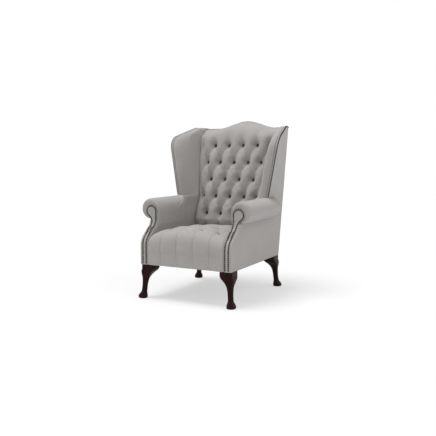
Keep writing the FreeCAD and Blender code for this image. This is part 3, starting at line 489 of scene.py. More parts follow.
def buttoning(x, row, last_row, pitch):
    """Height from 0 at a button to 1 on a crown; past the end rows the pleats run straight."""
    held = np.clip(row, 0, last_row)
    first = (x / pitch - held / 2 + 0.5) % 1.0
    second = (x / pitch + held / 2 + 0.5) % 1.0
    one = np.sin(np.pi * first) ** PLEAT_SHARPNESS
    two = np.sin(np.pi * second) ** PLEAT_SHARPNESS
    either = one + two - one * two
    return PLEAT_SHARE * either + (1 - PLEAT_SHARE) * (one * two) ** CROWN_SHAPE


def button_spots(rows, pitch):
    """Each button's place across, in metres, and the number of its row."""
    return [(share * pitch, number) for number, row in enumerate(rows) for share in row]


def dimples(x, row, spots, row_pitch, radius):
    """How far each point is drawn in by the nearest button, from 0 to 1."""
    pull = np.zeros_like(x)
    for spot_x, spot_row in spots:
        away = ((x - spot_x) ** 2 + ((row - spot_row) * row_pitch) ** 2) / radius ** 2
        pull = np.maximum(pull, np.exp(-away))
    return pull


def rounded_edge(inside, width):
    """The fall of a quarter round, from 1 at the edge to 0 at its width inside."""
    edge = np.clip(inside / width, 0, 1)
    return 1 - np.sqrt(1 - (1 - edge) ** 2)


def edge_relief(inside, width):
    """The share of the buttoning's depth that is left toward the cover's edge."""
    return 0.35 + 0.65 * smoothstep(0.0, width, inside)


def with_walls(points, depths, sunk):
    """Adds columns beyond both side edges, each sunk by its depth behind the cover."""
    before = [sunk(points[:, 0].copy(), depth) for depth in reversed(depths)]
    after = [sunk(points[:, -1].copy(), depth) for depth in depths]
    return np.concatenate([np.stack(before, axis=1), points, np.stack(after, axis=1)], axis=1)


def hold_walls(held, depths):
    """The hold of each point, with the walls held fully."""
    return np.pad(held, ((0, 0), (len(depths), len(depths))), constant_values=1.0).ravel()


# Inside back: from the seat up the raked face, over the camel top to the rear edge
FACE_RAKE = math.radians(16.26)
FACE_Y = 0.0717
FACE_Z = 0.405
ROLL_START = 0.567
ROLL_RADIUS = 0.213

# The camel top, measured along the raked frame from the legs' top
HUMP_TOP = 0.9054
HUMP_RADIUS = 0.225
HUMP_HALF = 0.095
HOLLOW_RADIUS = 0.293

# Its buttons, with each row's places as shares of the pitch; a button is a radius and a height
BACK_PITCH = 0.1036
BACK_ROW = 0.1165
BACK_FIRST = 0.091
BACK_DEPTH = 0.030
BACK_WELL = 0.018
BACK_DIMPLE = 0.022
BACK_BUTTON = (0.0112, 0.0066)
BACK_BUTTON_OUT = 0.0070
BACK_WALL = (0.012, 0.03, 0.05)
WIDE_ROW = (-1.87, -1, 0, 1, 1.87)
NARROW_ROW = (-1.5, -0.5, 0.5, 1.5)
BACK_BUTTONS = [NARROW_ROW, WIDE_ROW, NARROW_ROW, WIDE_ROW, NARROW_ROW]


def corner_lift(x):
    """How far the cover rises over the frame toward the rear corners of the top."""
    return 0.008 * smoothstep(0.225, 0.292, np.abs(x))


def camel_height(x):
    """The height of the back's rear top edge: a round hump between two hollows."""
    x = np.abs(x)
    base = HUMP_TOP - HUMP_RADIUS
    hump = base + np.sqrt(np.maximum(HUMP_RADIUS ** 2 - x ** 2, 0))
    reach = HUMP_RADIUS + HOLLOW_RADIUS
    hollow_x = reach * HUMP_HALF / HUMP_RADIUS
    centre = base + reach * math.sqrt(1 - (HUMP_HALF / HUMP_RADIUS) ** 2)
    away = hollow_x - np.minimum(x, hollow_x)
    hollow = centre - np.sqrt(np.maximum(HOLLOW_RADIUS ** 2 - away ** 2, 0))
    return LEG_TOP + np.where(x < HUMP_HALF, hump, hollow) * math.cos(BACK_RAKE) + corner_lift(x)


def face_point(depth, rise):
    """The depth (y) and height (z) of a point of the raked face."""
    y = FACE_Y + rise * math.sin(FACE_RAKE) + depth * math.cos(FACE_RAKE)
    return y, FACE_Z + rise * math.cos(FACE_RAKE) - depth * math.sin(FACE_RAKE)


def tuck(rise):
    """How far the face turns in behind the seat."""
    start, depth = 0.05, 0.03
    if rise >= start:
        return 0.0
    return depth * ((start - rise) / start) ** 2 if rise > 0 else depth - rise * 0.9


def back_column(x, low_rises, top_count):
    """The side view of the inside back at one place across it."""
    face = np.array([face_point(tuck(rise), rise) for rise in low_rises])
    top = float(camel_height(x))
    edge_y = outer_back_y(top) - 0.002
    top_slope = math.tan(math.radians(16))
    roll = []
    for turn in np.radians(np.arange(0, 74, 0.5)):
        depth = ROLL_RADIUS * (1 - math.cos(turn))
        y, z = face_point(depth, ROLL_START + ROLL_RADIUS * math.sin(turn))
        if z > top - (edge_y - y) * top_slope:
            break
        roll.append((y, z))
    over = [(edge_y, top), (edge_y + 0.0005, top - 0.004), (edge_y, top - 0.012)]
    rolled = resample(np.array(roll[-1:] + over[:1]), 40)
    whole = np.concatenate([np.array(roll), rolled[1:], np.array(over[1:])])
    column = np.concatenate([face, resample(whole, top_count + 1)[1:]])
    number = np.arange(len(column))
    from_start = smoothstep(0, 12, number - (len(low_rises) - 12))
    to_end = smoothstep(0, 8, len(column) - 1 - number)
    return mixed(column, blur(column, 5.0), from_start * to_end)


def sunk_beside_back(column, depth):
    """A column of the back's cover, moved in behind it beside the crease."""
    column[:, 1] += depth * 0.96
    column[:, 2] -= depth * 0.28
    column[:, 1] = np.minimum(column[:, 1], outer_back_y(column[:, 2]) - 0.004)
    return column


def build_back():
    low_rises = np.arange(-0.08, ROLL_START, 0.0045)
    top_count = 56
    shares = np.linspace(-1, 1, 141)
    side = np.stack([back_column(share * 0.25, low_rises, top_count) for share in shares], axis=1)
    y, z = side[..., 0], side[..., 1]
    half = crease_half(z) + 0.005 + 0.007 * smoothstep(0.995, 1.025, z)
    x = half * shares[None, :]
    inside = half - np.abs(x)
    rises = np.concatenate([low_rises, ROLL_START + np.arange(1, top_count + 1) * 0.0057])

    # The face curves back toward its sides and rounds over at the crease, below the roll
    flat_half, side_radius = 0.165, 0.228
    beyond = np.maximum(np.abs(x) - flat_half, 0)
    sink = side_radius - np.sqrt(np.maximum(side_radius ** 2 - beyond ** 2, 0))
    sink += 0.007 * rounded_edge(inside, 0.014)
    sink *= 1 - smoothstep(0.60, 0.80, rises)[:, None]
    base = np.stack([x, y + sink * math.cos(FACE_RAKE), z - sink * math.sin(FACE_RAKE)], axis=-1)
    normals = grid_normals(base)

    # Pleats and button wells
    last = len(BACK_BUTTONS) - 1
    row = ((rises - BACK_FIRST) / BACK_ROW)[:, None] * np.ones_like(x)
    past = np.maximum(row - last, 0) * BACK_ROW
    below = np.maximum(-row, 0) * BACK_ROW
    height = buttoning(x, row, last, BACK_PITCH)
    fade = np.exp(-(past / 0.095) ** 1.5) * (1 - 0.35 * smoothstep(0, 0.09, below))
    spots = button_spots(BACK_BUTTONS, BACK_PITCH)
    pull = dimples(x, row, spots, BACK_ROW, BACK_DIMPLE)
    down = ((1 - height) * fade * BACK_DEPTH + pull * BACK_WELL) * edge_relief(inside, 0.032)
    mesh = grid_mesh("inside_back", with_walls(base - normals * down[..., None], BACK_WALL,
                                               sunk_beside_back))

    # What holds the cover while it fills: pleats, buttons and all its edges
    pleats = (1 - smoothstep(0.06, 0.42, height)) * np.clip(fade * 1.4, 0, 1)
    number = np.arange(len(rises))
    foot = 1 - smoothstep(0, 9, number)
    head = smoothstep(len(rises) - 22, len(rises) - 8, number)
    held = np.maximum(np.maximum(pleats, pull), np.maximum(foot, head)[:, None])
    held = np.maximum(held, 1 - smoothstep(0.004, 0.018, inside))
    fill(mesh, hold_walls(held, BACK_WALL), cap=0.007, spare=0.008)
    finish_piece("inside_back", mesh, fabric, ["back_cushion"], soft=0.75)

    bm = bmesh.new()
    normal = np.array([0, -math.cos(FACE_RAKE), math.sin(FACE_RAKE)])
    for number, (spot_x, spot_row) in enumerate(spots):
        i = np.abs(rises - (BACK_FIRST + BACK_ROW * spot_row)).argmin()
        j = np.abs(x[i] - spot_x).argmin()
        centre = base[i, j] + np.array([spot_x - x[i, j], 0, 0])
        centre -= normal * (BACK_DEPTH + BACK_WELL - BACK_BUTTON_OUT)
        add_button(bm, centre, normal, *BACK_BUTTON, number)
    finish_piece("back_button_covers", mesh_from_bmesh("back_button_covers", bm), button_fabric_painted_shade,
                 ["back_buttons"])


build_back()


# Seat: crowned top, rolled front edge and five panels down the front
SEAT_HALF = 0.2535
SEAT_PITCH = 0.110
SEAT_ROW = 0.104
SEAT_FIRST_Y = FRONT_Y + 0.130
SEAT_DEPTH = 0.012
SEAT_WELL = 0.010
SEAT_DIMPLE = 0.014
SEAT_FALL = 0.036
SEAT_EDGE_FALL = 0.016
SEAT_BUTTON = (0.0098, 0.0058)
SEAT_BUTTON_OUT = 0.003
SEAT_WALL = (0.01, 0.03)
SEAT_LINES = 200
SEAT_TOP_LINES = 147
SEAM_LINES = np.array([-0.0030, -0.0014, 0.0, 0.0014, 0.0030])
SEAT_BUTTONS = [NARROW_ROW, (-1, 0, 1), NARROW_ROW, (-1, 0, 1)]


def arc_radius(run, rise):
    """The radius of a flat arc that falls by rise over run from its crown."""
    return (run ** 2 + rise ** 2) / (2 * rise)


def arc_points(start, end, radius):
    """Points of a circular arc between two points of a side view, bulging up and forward."""
    start, end = np.array(start), np.array(end)
    chord = end - start
    length = np.linalg.norm(chord)
    normal = np.array([chord[1], -chord[0]]) / length
    centre = (start + end) / 2 - normal * math.sqrt(max(radius ** 2 - length ** 2 / 4, 0))
    first = math.atan2(*(start - centre)[::-1])
    last = math.atan2(*(end - centre)[::-1])
    turn = (last - first + math.pi) % (2 * math.pi) - math.pi
    angles = [first + turn * t for t in np.linspace(0, 1, 24)]
    return [tuple(centre + radius * np.array([math.cos(a), math.sin(a)])) for a in angles]


def seat_profile():
    """The side view of the seat's cover, from its rear tuck over the crown to the front rail."""
    crown = (FRONT_Y + 0.190, 0.437)
    rear = (0.1032, 0.407)
    brow = (FRONT_Y + 0.048, 0.423)
    path = [(0.14, 0.380), (0.12, 0.396)]
    path += arc_points(rear, crown, arc_radius(crown[0] - rear[0], 0.03))
    path += arc_points(crown, brow, arc_radius(0.142, 0.014))
    path += arc_points(brow, (FRONT_Y, 0.375), 0.048)
    path += [(FRONT_Y, 0.216), (FRONT_Y + 0.002, 0.2092), (FRONT_Y + 0.007, 0.2068),
             (FRONT_Y + 0.016, 0.2068)]
    side = resample(path, SEAT_LINES)
    number = np.arange(SEAT_LINES)
    weight = smoothstep(13, 40, number) * (1 - smoothstep(150, 160, number))
    return mixed(side, blur(side, 5.0), weight)


def seat_shares():
    """Where the cover's columns run, as shares of its half width, close together at the seams."""
    seams = np.array(NARROW_ROW) * SEAT_PITCH
    columns = np.linspace(-SEAT_HALF, SEAT_HALF, 131)
    columns = columns[np.abs(columns[:, None] - seams).min(axis=1) > 0.0045]
    close_by = (seams[:, None] + SEAM_LINES).ravel()
    return np.sort(np.concatenate([columns, close_by]))[::-1] / SEAT_HALF


def build_seat():
    side = seat_profile()
    x = SEAT_HALF * seat_shares()[None, :] * np.ones((SEAT_LINES, 1))
    y = side[:, :1] * np.ones_like(x)
    z = side[:, 1:] * np.ones_like(x)
    top = smoothstep(0.25, 0.40, z)
    inside = SEAT_HALF - np.abs(x)
    z = z - SEAT_FALL * (x / SEAT_HALF) ** 2 * top
    z -= SEAT_EDGE_FALL * rounded_edge(inside, 0.022) * top
    base = np.stack([x, y, z], axis=-1)
    normals = grid_normals(base)

    # Buttoned diamonds on top, which turn into panels between seams down the front
    length = run_lengths(side)
    first_at = np.interp(-SEAT_FIRST_Y, -side[:, 0][:SEAT_TOP_LINES], length[:SEAT_TOP_LINES])
    ahead = np.maximum(length - first_at, 0)[:, None] * np.ones_like(x)
    row = np.where(ahead > 0, -ahead / SEAT_ROW, (y - SEAT_FIRST_Y) / SEAT_ROW)
    last = len(SEAT_BUTTONS) - 1
    seam = np.abs((x / SEAT_PITCH) % 1.0 - 0.5) * SEAT_PITCH
    panels = 1 - 0.50 * np.exp(-(seam / 0.0017) ** 2) - 0.25 * np.exp(-(seam / 0.022) ** 2)
    front_share = smoothstep(0.02, 0.11, ahead)
    height = buttoning(x, row, last, SEAT_PITCH) * (1 - front_share) + panels * front_share
    past = np.maximum(row - last, 0) * SEAT_ROW
    fade = np.maximum(np.exp(-ahead / 0.16), 0.55) * np.exp(-past / 0.08)
    fade *= edge_relief(inside, 0.02)
    spots = button_spots(SEAT_BUTTONS, SEAT_PITCH)
    pull = dimples(x, row, spots, SEAT_ROW, SEAT_DIMPLE)
    down = (1 - height) * fade * SEAT_DEPTH + pull * SEAT_WELL

    def sunk_beside_seat(column, depth):
        column[:, 2] -= depth * top[:, 0]
        column[:, 1] += depth * (1 - top[:, 0]) * 0.6
        return column

    mesh = grid_mesh("seat", with_walls(base - normals * down[..., None], SEAT_WALL,
                                        sunk_beside_seat))

    # What holds the cover while it fills: pleats, buttons and all its edges
    number = np.arange(SEAT_LINES)
    pleats = (1 - smoothstep(0.12, 0.50, height)) * np.clip(fade * 1.4, 0, 1)
    rim = np.maximum(1 - smoothstep(0, 12, number), smoothstep(171, 188, number))
    held = np.maximum(np.maximum(pleats, pull), rim[:, None])
    held = np.maximum(held, 1 - smoothstep(0.003, 0.020, inside))
    fill(mesh, hold_walls(held, SEAT_WALL), cap=0.005, spare=0.005)
    finish_piece("seat", mesh, fabric, ["seat_cushion"], soft=0.8)

    bm = bmesh.new()
    for number, (spot_x, spot_row) in enumerate(spots):
        i = np.abs(y[:SEAT_TOP_LINES, 0] - (SEAT_FIRST_Y + SEAT_ROW * spot_row)).argmin()
        j = np.abs(x[i] - spot_x).argmin()
        centre = base[i, j] - normals[i, j] * (SEAT_DEPTH + SEAT_WELL - SEAT_BUTTON_OUT)
        add_button(bm, centre, normals[i, j], *SEAT_BUTTON, number)
    finish_piece("seat_button_covers", mesh_from_bmesh("seat_button_covers", bm), button_fabric_painted_shade,
                 ["seat_buttons"])


build_seat()


# Arms and wings: covers over their padding, each filled by a cloth simulation
COVER_VOXEL = 0.0055

# The arm's inside face, its roll and the half width that the solids have at the crease's waist
ARM_INSIDE = 0.262
ROLL_X = 0.308
ROLL_Z = 0.537
ROLL_R = 0.065
CAD_WAIST = 0.194

# The wing's edge from the side: its front, which leans back, its round shoulder and its peak
WING_FRONT = 0.0387
WING_FOOT_Z = 0.606
WING_LEAN = 0.010
SHOULDER_Z = 0.903
SHOULDER_RADIUS = 0.095
SHOULDER_TURN = math.radians(71)
PEAK_Y, PEAK_Z = 0.3037, 1.054

# The outside wing's flare, and the padding that begins inside of it
WING_LOW_Z, WING_HIGH_Z = 0.472, 1.060
WING_START = 0.020
WING_FLARE = 0.267
PAD_INSET = 0.0136
WING_ROLL = 0.038
WING_CROWN = 0.22

# Where the wing's crease beside the back starts and ends, and how deep it lies
WING_CREASE_LOW, WING_CREASE_HIGH = 0.560, 1.050
CREASE_WAIST_Y, CREASE_TOP_Y = 0.1207, 0.3237


def even_copy(mesh, rounds):
    """A closed form as an even mesh, its edges rounded over."""
    piece = add_object("even", mesh)
    remesh = piece.modifiers.new("even", "REMESH")
    remesh.mode = "VOXEL"
    remesh.voxel_size = COVER_VOXEL
    smooth = piece.modifiers.new("round", "SMOOTH")
    smooth.factor = 0.5
    smooth.iterations = rounds
    evened = piece.evaluated_get(bpy.context.evaluated_depsgraph_get())
    made = bpy.data.meshes.new_from_object(evened)
    bpy.data.objects.remove(piece)
    return made


def wing_surface_x(y, z):
    """The outside wing's face, which flares outward toward its front and its top."""
    share = share_between(WING_LOW_Z, WING_HIGH_Z, z)
    along = (y + WING_START) / (outer_back_y(z) + WING_START)
    flare = (outer_back_y(WING_HIGH_Z) + WING_START) * WING_FLARE
    return SIDE_X + share * (1 - along) * flare


def wing_outline(inset):
    """The wing's edge from the side: up the front, round the shoulder and back to the corner."""
    radius = SHOULDER_RADIUS - inset
    centre_y = WING_FRONT + WING_LEAN + SHOULDER_RADIUS
    path = [(WING_FRONT + inset + WING_LEAN * t, WING_FOOT_Z + (SHOULDER_Z - WING_FOOT_Z) * t)
            for t in np.linspace(0, 1, 60)]
    path += [(centre_y - radius * math.cos(t), SHOULDER_Z + radius * math.sin(t))
             for t in np.linspace(0, SHOULDER_TURN, 30)]
    peak_z = PEAK_Z - inset / math.sin(SHOULDER_TURN)
    path += [(PEAK_Y, peak_z), (outer_back_y(peak_z) - 0.004, peak_z)]
    return resample(np.array(path), 300)


def line(start, end, count):
    """Points on from the start, which is left out, to the end."""
    return [start + (end - start) * t for t in np.linspace(0, 1, count)[1:]]


def wing_row(y, z, share, past):
    """One section of the wing's padding, from its nailed edge round to its outside face."""
    outer = np.array([wing_surface_x(y, z) - PAD_INSET, y, z])
    crease_z = WING_CREASE_LOW + (WING_CREASE_HIGH - WING_CREASE_LOW) * share ** 1.05
    crease_rise = share_between(CREASE_WAIST_Z, CREASE_TOP_Z, crease_z)
    crease_y = CREASE_WAIST_Y + (CREASE_TOP_Y - CREASE_WAIST_Y) * crease_rise + 0.098 * past
    crease_z -= 0.022 * smoothstep(0.0, 0.3, past)
    crease = np.array([float(crease_half(crease_z)) - 0.001, crease_y, crease_z])
    chord = crease - outer
    widest = WING_ROLL * (0.5 + 0.5 * smoothstep(0.60, 0.82, z))
    swell = min(widest, 0.42 * np.linalg.norm(chord)) * (1 - past)
    lift = np.array([-0.86, -0.50, 0.0]) * swell
    row = []
    near_edge = np.linspace(0, WING_CROWN, 18) ** 2 / WING_CROWN
    for c in np.concatenate([near_edge, np.linspace(WING_CROWN, 1, 40)[1:]]):
        if c < WING_CROWN:
            height = math.sqrt(1 - (1 - c / WING_CROWN) ** 2)
        else:
            t = share_between(WING_CROWN, 1, c)
            height = (1 - t ** 1.5) * (1 - 0.10 * math.sin(math.pi * t))
        row.append(outer + chord * c + lift * height)
    rear_y = max(min(crease_y + 0.05, outer_back_y(z) - 0.07), y + 0.02, crease_y + 0.03)
    rear_y = min(rear_y, outer_back_y(z) - 0.006)
    behind = np.array([crease[0] + 0.004, rear_y, crease_z])
    beyond = np.array([wing_surface_x(rear_y, z) - PAD_INSET, rear_y, z])
    return row + line(crease, behind, 6) + line(behind, beyond, 10) + line(beyond, outer, 16)[:-1]


def wing_mesh():
    """A wing's padding: a soft roll from the nailed edge, falling away to the crease."""
    edge = wing_outline(0.0)
    edge = edge[edge[:, 0] < 0.412]
    foot = [(WING_FRONT, z) for z in np.linspace(WING_CREASE_LOW, 0.600, 10)]
    edge = blur(resample(np.concatenate([foot, edge]), 150), 2.0)
    peak = int(np.argmax(edge[:, 0] > 0.296))
    rows = [wing_row(y, z, min(number / peak, 1.0), max(number - peak, 0) / (len(edge) - 1 - peak))
            for number, (y, z) in enumerate(edge)]
    bm = capped_bmesh(grid_mesh("wing_cover", np.array(rows), closed=True))
    triangulate_large(bm)
    return mesh_from_bmesh("wing_cover", bm)


def build_wings():
    mesh = even_copy(wing_mesh(), 5)
    points = coordinates(mesh)
    x, y, z = points.T

    # The foot stands on the arm's roll, and inside of the roll it ends near the roll's top
    roll_z = ROLL_Z + np.sqrt(np.maximum(ROLL_R ** 2 - (x - ROLL_X) ** 2, 0))
    floor_z = np.where(x > ARM_INSIDE, roll_z, 0.597) - 0.003
    z[:] = np.maximum(z, floor_z)
    set_coordinates(mesh, points)
    held = 1 - smoothstep(0.000, 0.030, z - floor_z)
    held = np.maximum(held, 1 - smoothstep(0.016, 0.024, wing_surface_x(y, z) - x))
    held = np.maximum(held, 1 - smoothstep(0.004, 0.020, x - crease_half(z)))
    fill(mesh, held, cap=0.008)
    side_pieces("wing", mesh, fabric, "wing_pad", soft=0.8)


def build_arms():
    mesh = even_copy(nodes["arm_pad_right"].data.copy(), 6)
    points = coordinates(mesh)
    x, y, z = points.T

    # Beside the back the arm's inside face is drawn outward to the crease
    level = np.clip(share_between(CREASE_FOOT_Z, CREASE_WAIST_Z, z), 0, 1)
    cad_reach = 0.030 + 0.038 * level
    moved = (CREASE_WAIST - CAD_WAIST) * level / cad_reach * smoothstep(-0.015, 0.030, y)
    x[:] = np.where(x < ARM_INSIDE, ARM_INSIDE - (ARM_INSIDE - x) * (1 - moved), x)
    set_coordinates(mesh, points)

    # The hollow under the roll is evened out, so that the cover runs on smoothly
    near = smoothstep(0.285, ARM_INSIDE, x)
    near *= smoothstep(0.395, 0.455, z) * smoothstep(0.600, 0.570, z)
    relax(mesh, near * smoothstep(-0.318, -0.290, y), 90)
    x, y, z = coordinates(mesh).T
    held = 1 - smoothstep(0.020, 0.060, z - 0.380)
    held = np.maximum(held, smoothstep(ARM_INSIDE, 0.275, x) * (z < 0.474))
    held = np.maximum(held, smoothstep(0.075, 0.11, y) * (x < ARM_INSIDE))
    held = np.maximum(held, smoothstep(0.015, 0.040, y) * smoothstep(0.530, 0.560, z))
    fill(mesh, held, cap=0.006)
    side_pieces("arm", mesh, fabric, "arm_pad", soft=0.85)


build_arms()
build_wings()


# Outside panels and arm facings
def rolled_panel(node, width):
    """A CAD panel with its edges rolled over, as cloth turns over a board."""
    bm = bmesh.new()
    bm.from_mesh(nodes[node].data)
    bmesh.ops.remove_doubles(bm, verts=bm.verts, dist=0.00002)
    flat = math.radians(1.5)
    bmesh.ops.dissolve_limit(bm, angle_limit=flat, verts=bm.verts, edges=bm.edges)
    sharp = [e for e in bm.edges
             if len(e.link_faces) == 2 and e.calc_face_angle(0) > math.radians(35)]
    bmesh.ops.bevel(bm, geom=sharp, offset=width, segments=3, profile=0.5, affect="EDGES")
    triangulate_large(bm)
    return mesh_from_bmesh(node + "_rolled", bm)


def finish_panel(name, mesh, node):
    """A panel whose wide flat faces keep a flat shading beside their rolled edges."""
    piece = finish_piece(name, mesh, fabric, [node])
    piece.modifiers.new("even_shading", "WEIGHTED_NORMAL").keep_sharp = False


for panel, width in (("outside_arm", 0.003), ("outside_wing", 0.003), ("arm_facing", 0.002)):
    rolled = rolled_panel(panel + "_right", width)
    other = mirrored_mesh(rolled, panel + "_cover_left")
    finish_panel(panel + "_cover_right", rolled, panel + "_right")
    finish_panel(panel + "_cover_left", other, panel + "_left")
finish_panel("outside_back_cover", rolled_panel("outside_back", 0.003), "outside_back")


# Nail heads, one by one along the edges that they hold
NAIL_PITCH = 0.0118
NAIL_RADIUS = 0.0050
NAIL_HEIGHT = 0.0032
NAIL_INSET = 0.0047
WING_NAIL_INSET = 0.0018
WING_NAIL_TILT = 0.9
NAIL_PROFILE = [(1.0, -0.3), (1.0, 0.12), (0.86, 0.5), (0.55, 0.85)]

# The arm's S-shaped front and the outline of its facing
SWEEP_START_Z, SWEEP_END_Z = 0.32309, 0.490
SWEEP_RADIUS = 0.080
SWEEP_TURN = math.radians(50)
SWEEP_DEPTH = 0.110
FACING_INSIDE, FACING_OUTSIDE = 0.261, 0.292
FACING_HEAD = 0.0365
FACING_HEAD_Z = 0.523
FACING_FOOT_Z = 0.214
NECK_TURN = math.radians(55)

# Half the distance over which a slope is measured
STEP = 0.001


def sweep_y(z):
    """The depth of the arm's S-shaped front edge at a height."""
    rise = SWEEP_RADIUS * math.sin(SWEEP_TURN)
    if z < SWEEP_START_Z:
        return FRONT_Y
    if z < SWEEP_START_Z + rise:
        return FRONT_Y + SWEEP_RADIUS - math.sqrt(SWEEP_RADIUS ** 2 - (z - SWEEP_START_Z) ** 2)
    if z < SWEEP_END_Z - rise:
        hook = SWEEP_RADIUS * (1 - math.cos(SWEEP_TURN))
        return FRONT_Y + hook + (z - SWEEP_START_Z - rise) / math.tan(SWEEP_TURN)
    bow = SWEEP_RADIUS - math.sqrt(SWEEP_RADIUS ** 2 - max(SWEEP_END_Z - z, 0) ** 2)
    return FRONT_Y + SWEEP_DEPTH - bow


def facing_outline(inset):
    """The arm facing's edge in the front view: up its outside, round its head, down its inside."""
    head = FACING_HEAD - inset
    inside = FACING_INSIDE + inset
    outside = FACING_OUTSIDE - inset
    centre = FACING_INSIDE + FACING_HEAD
    neck_x = centre + head * math.cos(NECK_TURN)
    neck_z = FACING_HEAD_Z - head * math.sin(NECK_TURN)
    hollow = (neck_x - outside) / (1 - math.cos(NECK_TURN))
    low_z = neck_z - hollow * math.sin(NECK_TURN)
    path = [(outside, z) for z in np.linspace(FACING_FOOT_Z, low_z, 60)]
    path += [(outside + hollow * (1 - math.cos(t)), low_z + hollow * math.sin(t))
             for t in np.linspace(0, NECK_TURN, 20)]
    path += [(centre + head * math.cos(t), FACING_HEAD_Z + head * math.sin(t))
             for t in np.linspace(-NECK_TURN, math.pi, 60)]
    return path + [(inside, z) for z in np.linspace(FACING_HEAD_Z, FACING_FOOT_Z, 80)]


def nail_places(path):
    path = np.array(path)
    lengths = run_lengths(path)
    count = max(int(round(lengths[-1] / NAIL_PITCH)), 1)
    return points_at(path, lengths, (np.arange(count) + 0.5) * lengths[-1] / count)


def nail_mesh(name, places, normals):
    bm = bmesh.new()
    for place, normal in zip(places, normals):
        add_dome(bm, place, normal, NAIL_RADIUS, NAIL_HEIGHT, NAIL_PROFILE, 12, 1.0)
    return mesh_from_bmesh(name, bm)


def build_arm_nails():
    places = nail_places([(x, sweep_y(z), z) for x, z in facing_outline(NAIL_INSET)])
    normals = [(0.0, -1.0, (sweep_y(z + STEP) - sweep_y(z - STEP)) / (2 * STEP))
               for _, _, z in places]
    mesh = nail_mesh("arm_nails_right", places, normals)
    side_pieces("arm_nails", mesh, nail_metal, "arm_nail_trim")


def build_wing_nails():
    outline = wing_outline(WING_NAIL_INSET)
    places = nail_places([(wing_surface_x(y, z), y, z) for y, z in outline])
    along = np.gradient(places, axis=0)
    along /= np.linalg.norm(along, axis=1)[:, None]
    normals = []
    for (_, y, z), (_, ahead, up) in zip(places, along):
        across = (wing_surface_x(y + STEP, z) - wing_surface_x(y - STEP, z)) / (2 * STEP)
        rise = (wing_surface_x(y, z + STEP) - wing_surface_x(y, z - STEP)) / (2 * STEP)
        normals.append((1.0, -across - WING_NAIL_TILT * up, -rise + WING_NAIL_TILT * ahead))
    mesh = nail_mesh("wing_nails_right", places, normals)
    side_pieces("wing_nails", mesh, nail_metal, "wing_nail_trim")


def build_back_nails():
    xs = np.linspace(-0.287, 0.287, 400)
    tops = camel_height(xs) - corner_lift(xs) - NAIL_INSET
    places = nail_places(np.stack([xs, outer_back_y(tops), tops], axis=1))
    normal = (0.0, math.cos(BACK_RAKE), -math.sin(BACK_RAKE))
    mesh = nail_mesh("back_nails", places, [normal] * len(places))
    finish_piece("back_nails", mesh, nail_metal, ["back_nail_trim"])


build_arm_nails()
build_wing_nails()
build_back_nails()


# Cabriole legs: square knee block, swelling knee, slim ankle and pad foot
BLOCK_Z = 0.180
KNEE_WIDTH = 0.080
ANKLE_WIDTH = 0.033
FOOT_WIDTH = 0.056
LEG_SWEEP = 0.034
LEG_X = 0.265
FRONT_LEG_Y = FRONT_Y + 0.050
REAR_LEG_Y = REAR_Y - 0.040

# Each section as shares: height, swell over the ankle, corner roundness and outward sweep
LEG_SHARES = [
    (1.0, 1.0, 0.16, 0.0), (0.93, 0.97, 0.34, 0.17), (0.83, 0.66, 0.6, 0.42),
    (0.69, 0.24, 0.85, 0.60), (0.53, 0.05, 0.94, 0.71), (0.33, 0.0, 0.94, 0.80),
]
FOOT_SHARES = [
    (0.21, 0.12, 0.94, 0.88), (0.12, 0.78, 0.94, 1.0), (0.045, 1.0, 0.94, 1.04),
    (0.0, 0.82, 0.94, 1.0),
]


def leg_sections():
    """Height, half width, corner roundness and sweep of each section, from the floor up."""
    sections = []
    for shares, width in ((LEG_SHARES, KNEE_WIDTH), (FOOT_SHARES, FOOT_WIDTH)):
        for height, swell, roundness, sweep in shares:
            half = (ANKLE_WIDTH + (width - ANKLE_WIDTH) * swell) / 2
            sections.append((BLOCK_Z * height, half, roundness, LEG_SWEEP * sweep))
    return np.array(sections[::-1])


def smooth_curve(heights, values, at):
    """A cubic curve through the sections' values."""
    slopes = np.gradient(values, heights)
    i = np.clip(np.searchsorted(heights, at) - 1, 0, len(heights) - 2)
    width = heights[i + 1] - heights[i]
    t = (at - heights[i]) / width
    ease = 3 * t ** 2 - 2 * t ** 3
    level = values[i] * (1 - ease) + values[i + 1] * ease
    leave, arrive = t ** 3 - 2 * t ** 2 + t, t ** 3 - t ** 2
    return level + (leave * slopes[i] + arrive * slopes[i + 1]) * width


def turned(points, angle):
    """Points turned about the upright axis."""
    made = points.copy()
    made[..., 0] = points[..., 0] * math.cos(angle) - points[..., 1] * math.sin(angle)
    made[..., 1] = points[..., 0] * math.sin(angle) + points[..., 1] * math.cos(angle)
    return made


def leg_ring(sections, level):
    """The leg's outline at one level, as points around it."""
    at = min(level, BLOCK_Z)
    half, roundness, sweep = [smooth_curve(sections[:, 0], sections[:, i], at) for i in (1, 2, 3)]
    if level < 0.004:
        half -= 0.002 * (1 - level / 0.004)
    if level > 0.205:
        half -= 0.001
    corner = half * min(roundness, 0.98)
    t = np.linspace(0, math.pi / 2, 9)
    quarter = half - corner + corner * np.column_stack([np.cos(t), np.sin(t)])
    ring = np.concatenate([turned(quarter, math.pi / 2 * number) for number in range(4)])
    ring += np.array([sweep, -sweep])
    return np.column_stack([ring, np.full(len(ring), level)])


def build_legs():
    sections = leg_sections()
    levels = np.concatenate([np.linspace(0, 0.02, 10), np.linspace(0.024, BLOCK_Z, 60),
                             [0.184, 0.192, 0.200, 0.206, LEG_TOP]])
    rings = np.stack([leg_ring(sections, level) for level in levels])
    for name, x, y, turn in (("front_leg_right", LEG_X, FRONT_LEG_Y, 0),
                             ("front_leg_left", -LEG_X, FRONT_LEG_Y, 270),
                             ("rear_leg_right", LEG_X, REAR_LEG_Y, 90),
                             ("rear_leg_left", -LEG_X, REAR_LEG_Y, 180)):
        points = turned(rings, math.radians(turn)) + np.array([x, y, 0])
        bm = capped_bmesh(grid_mesh("leg", points, closed=True))
        finish_piece(name + "_carved", mesh_from_bmesh(name, bm), mahogany, [name])


build_legs()


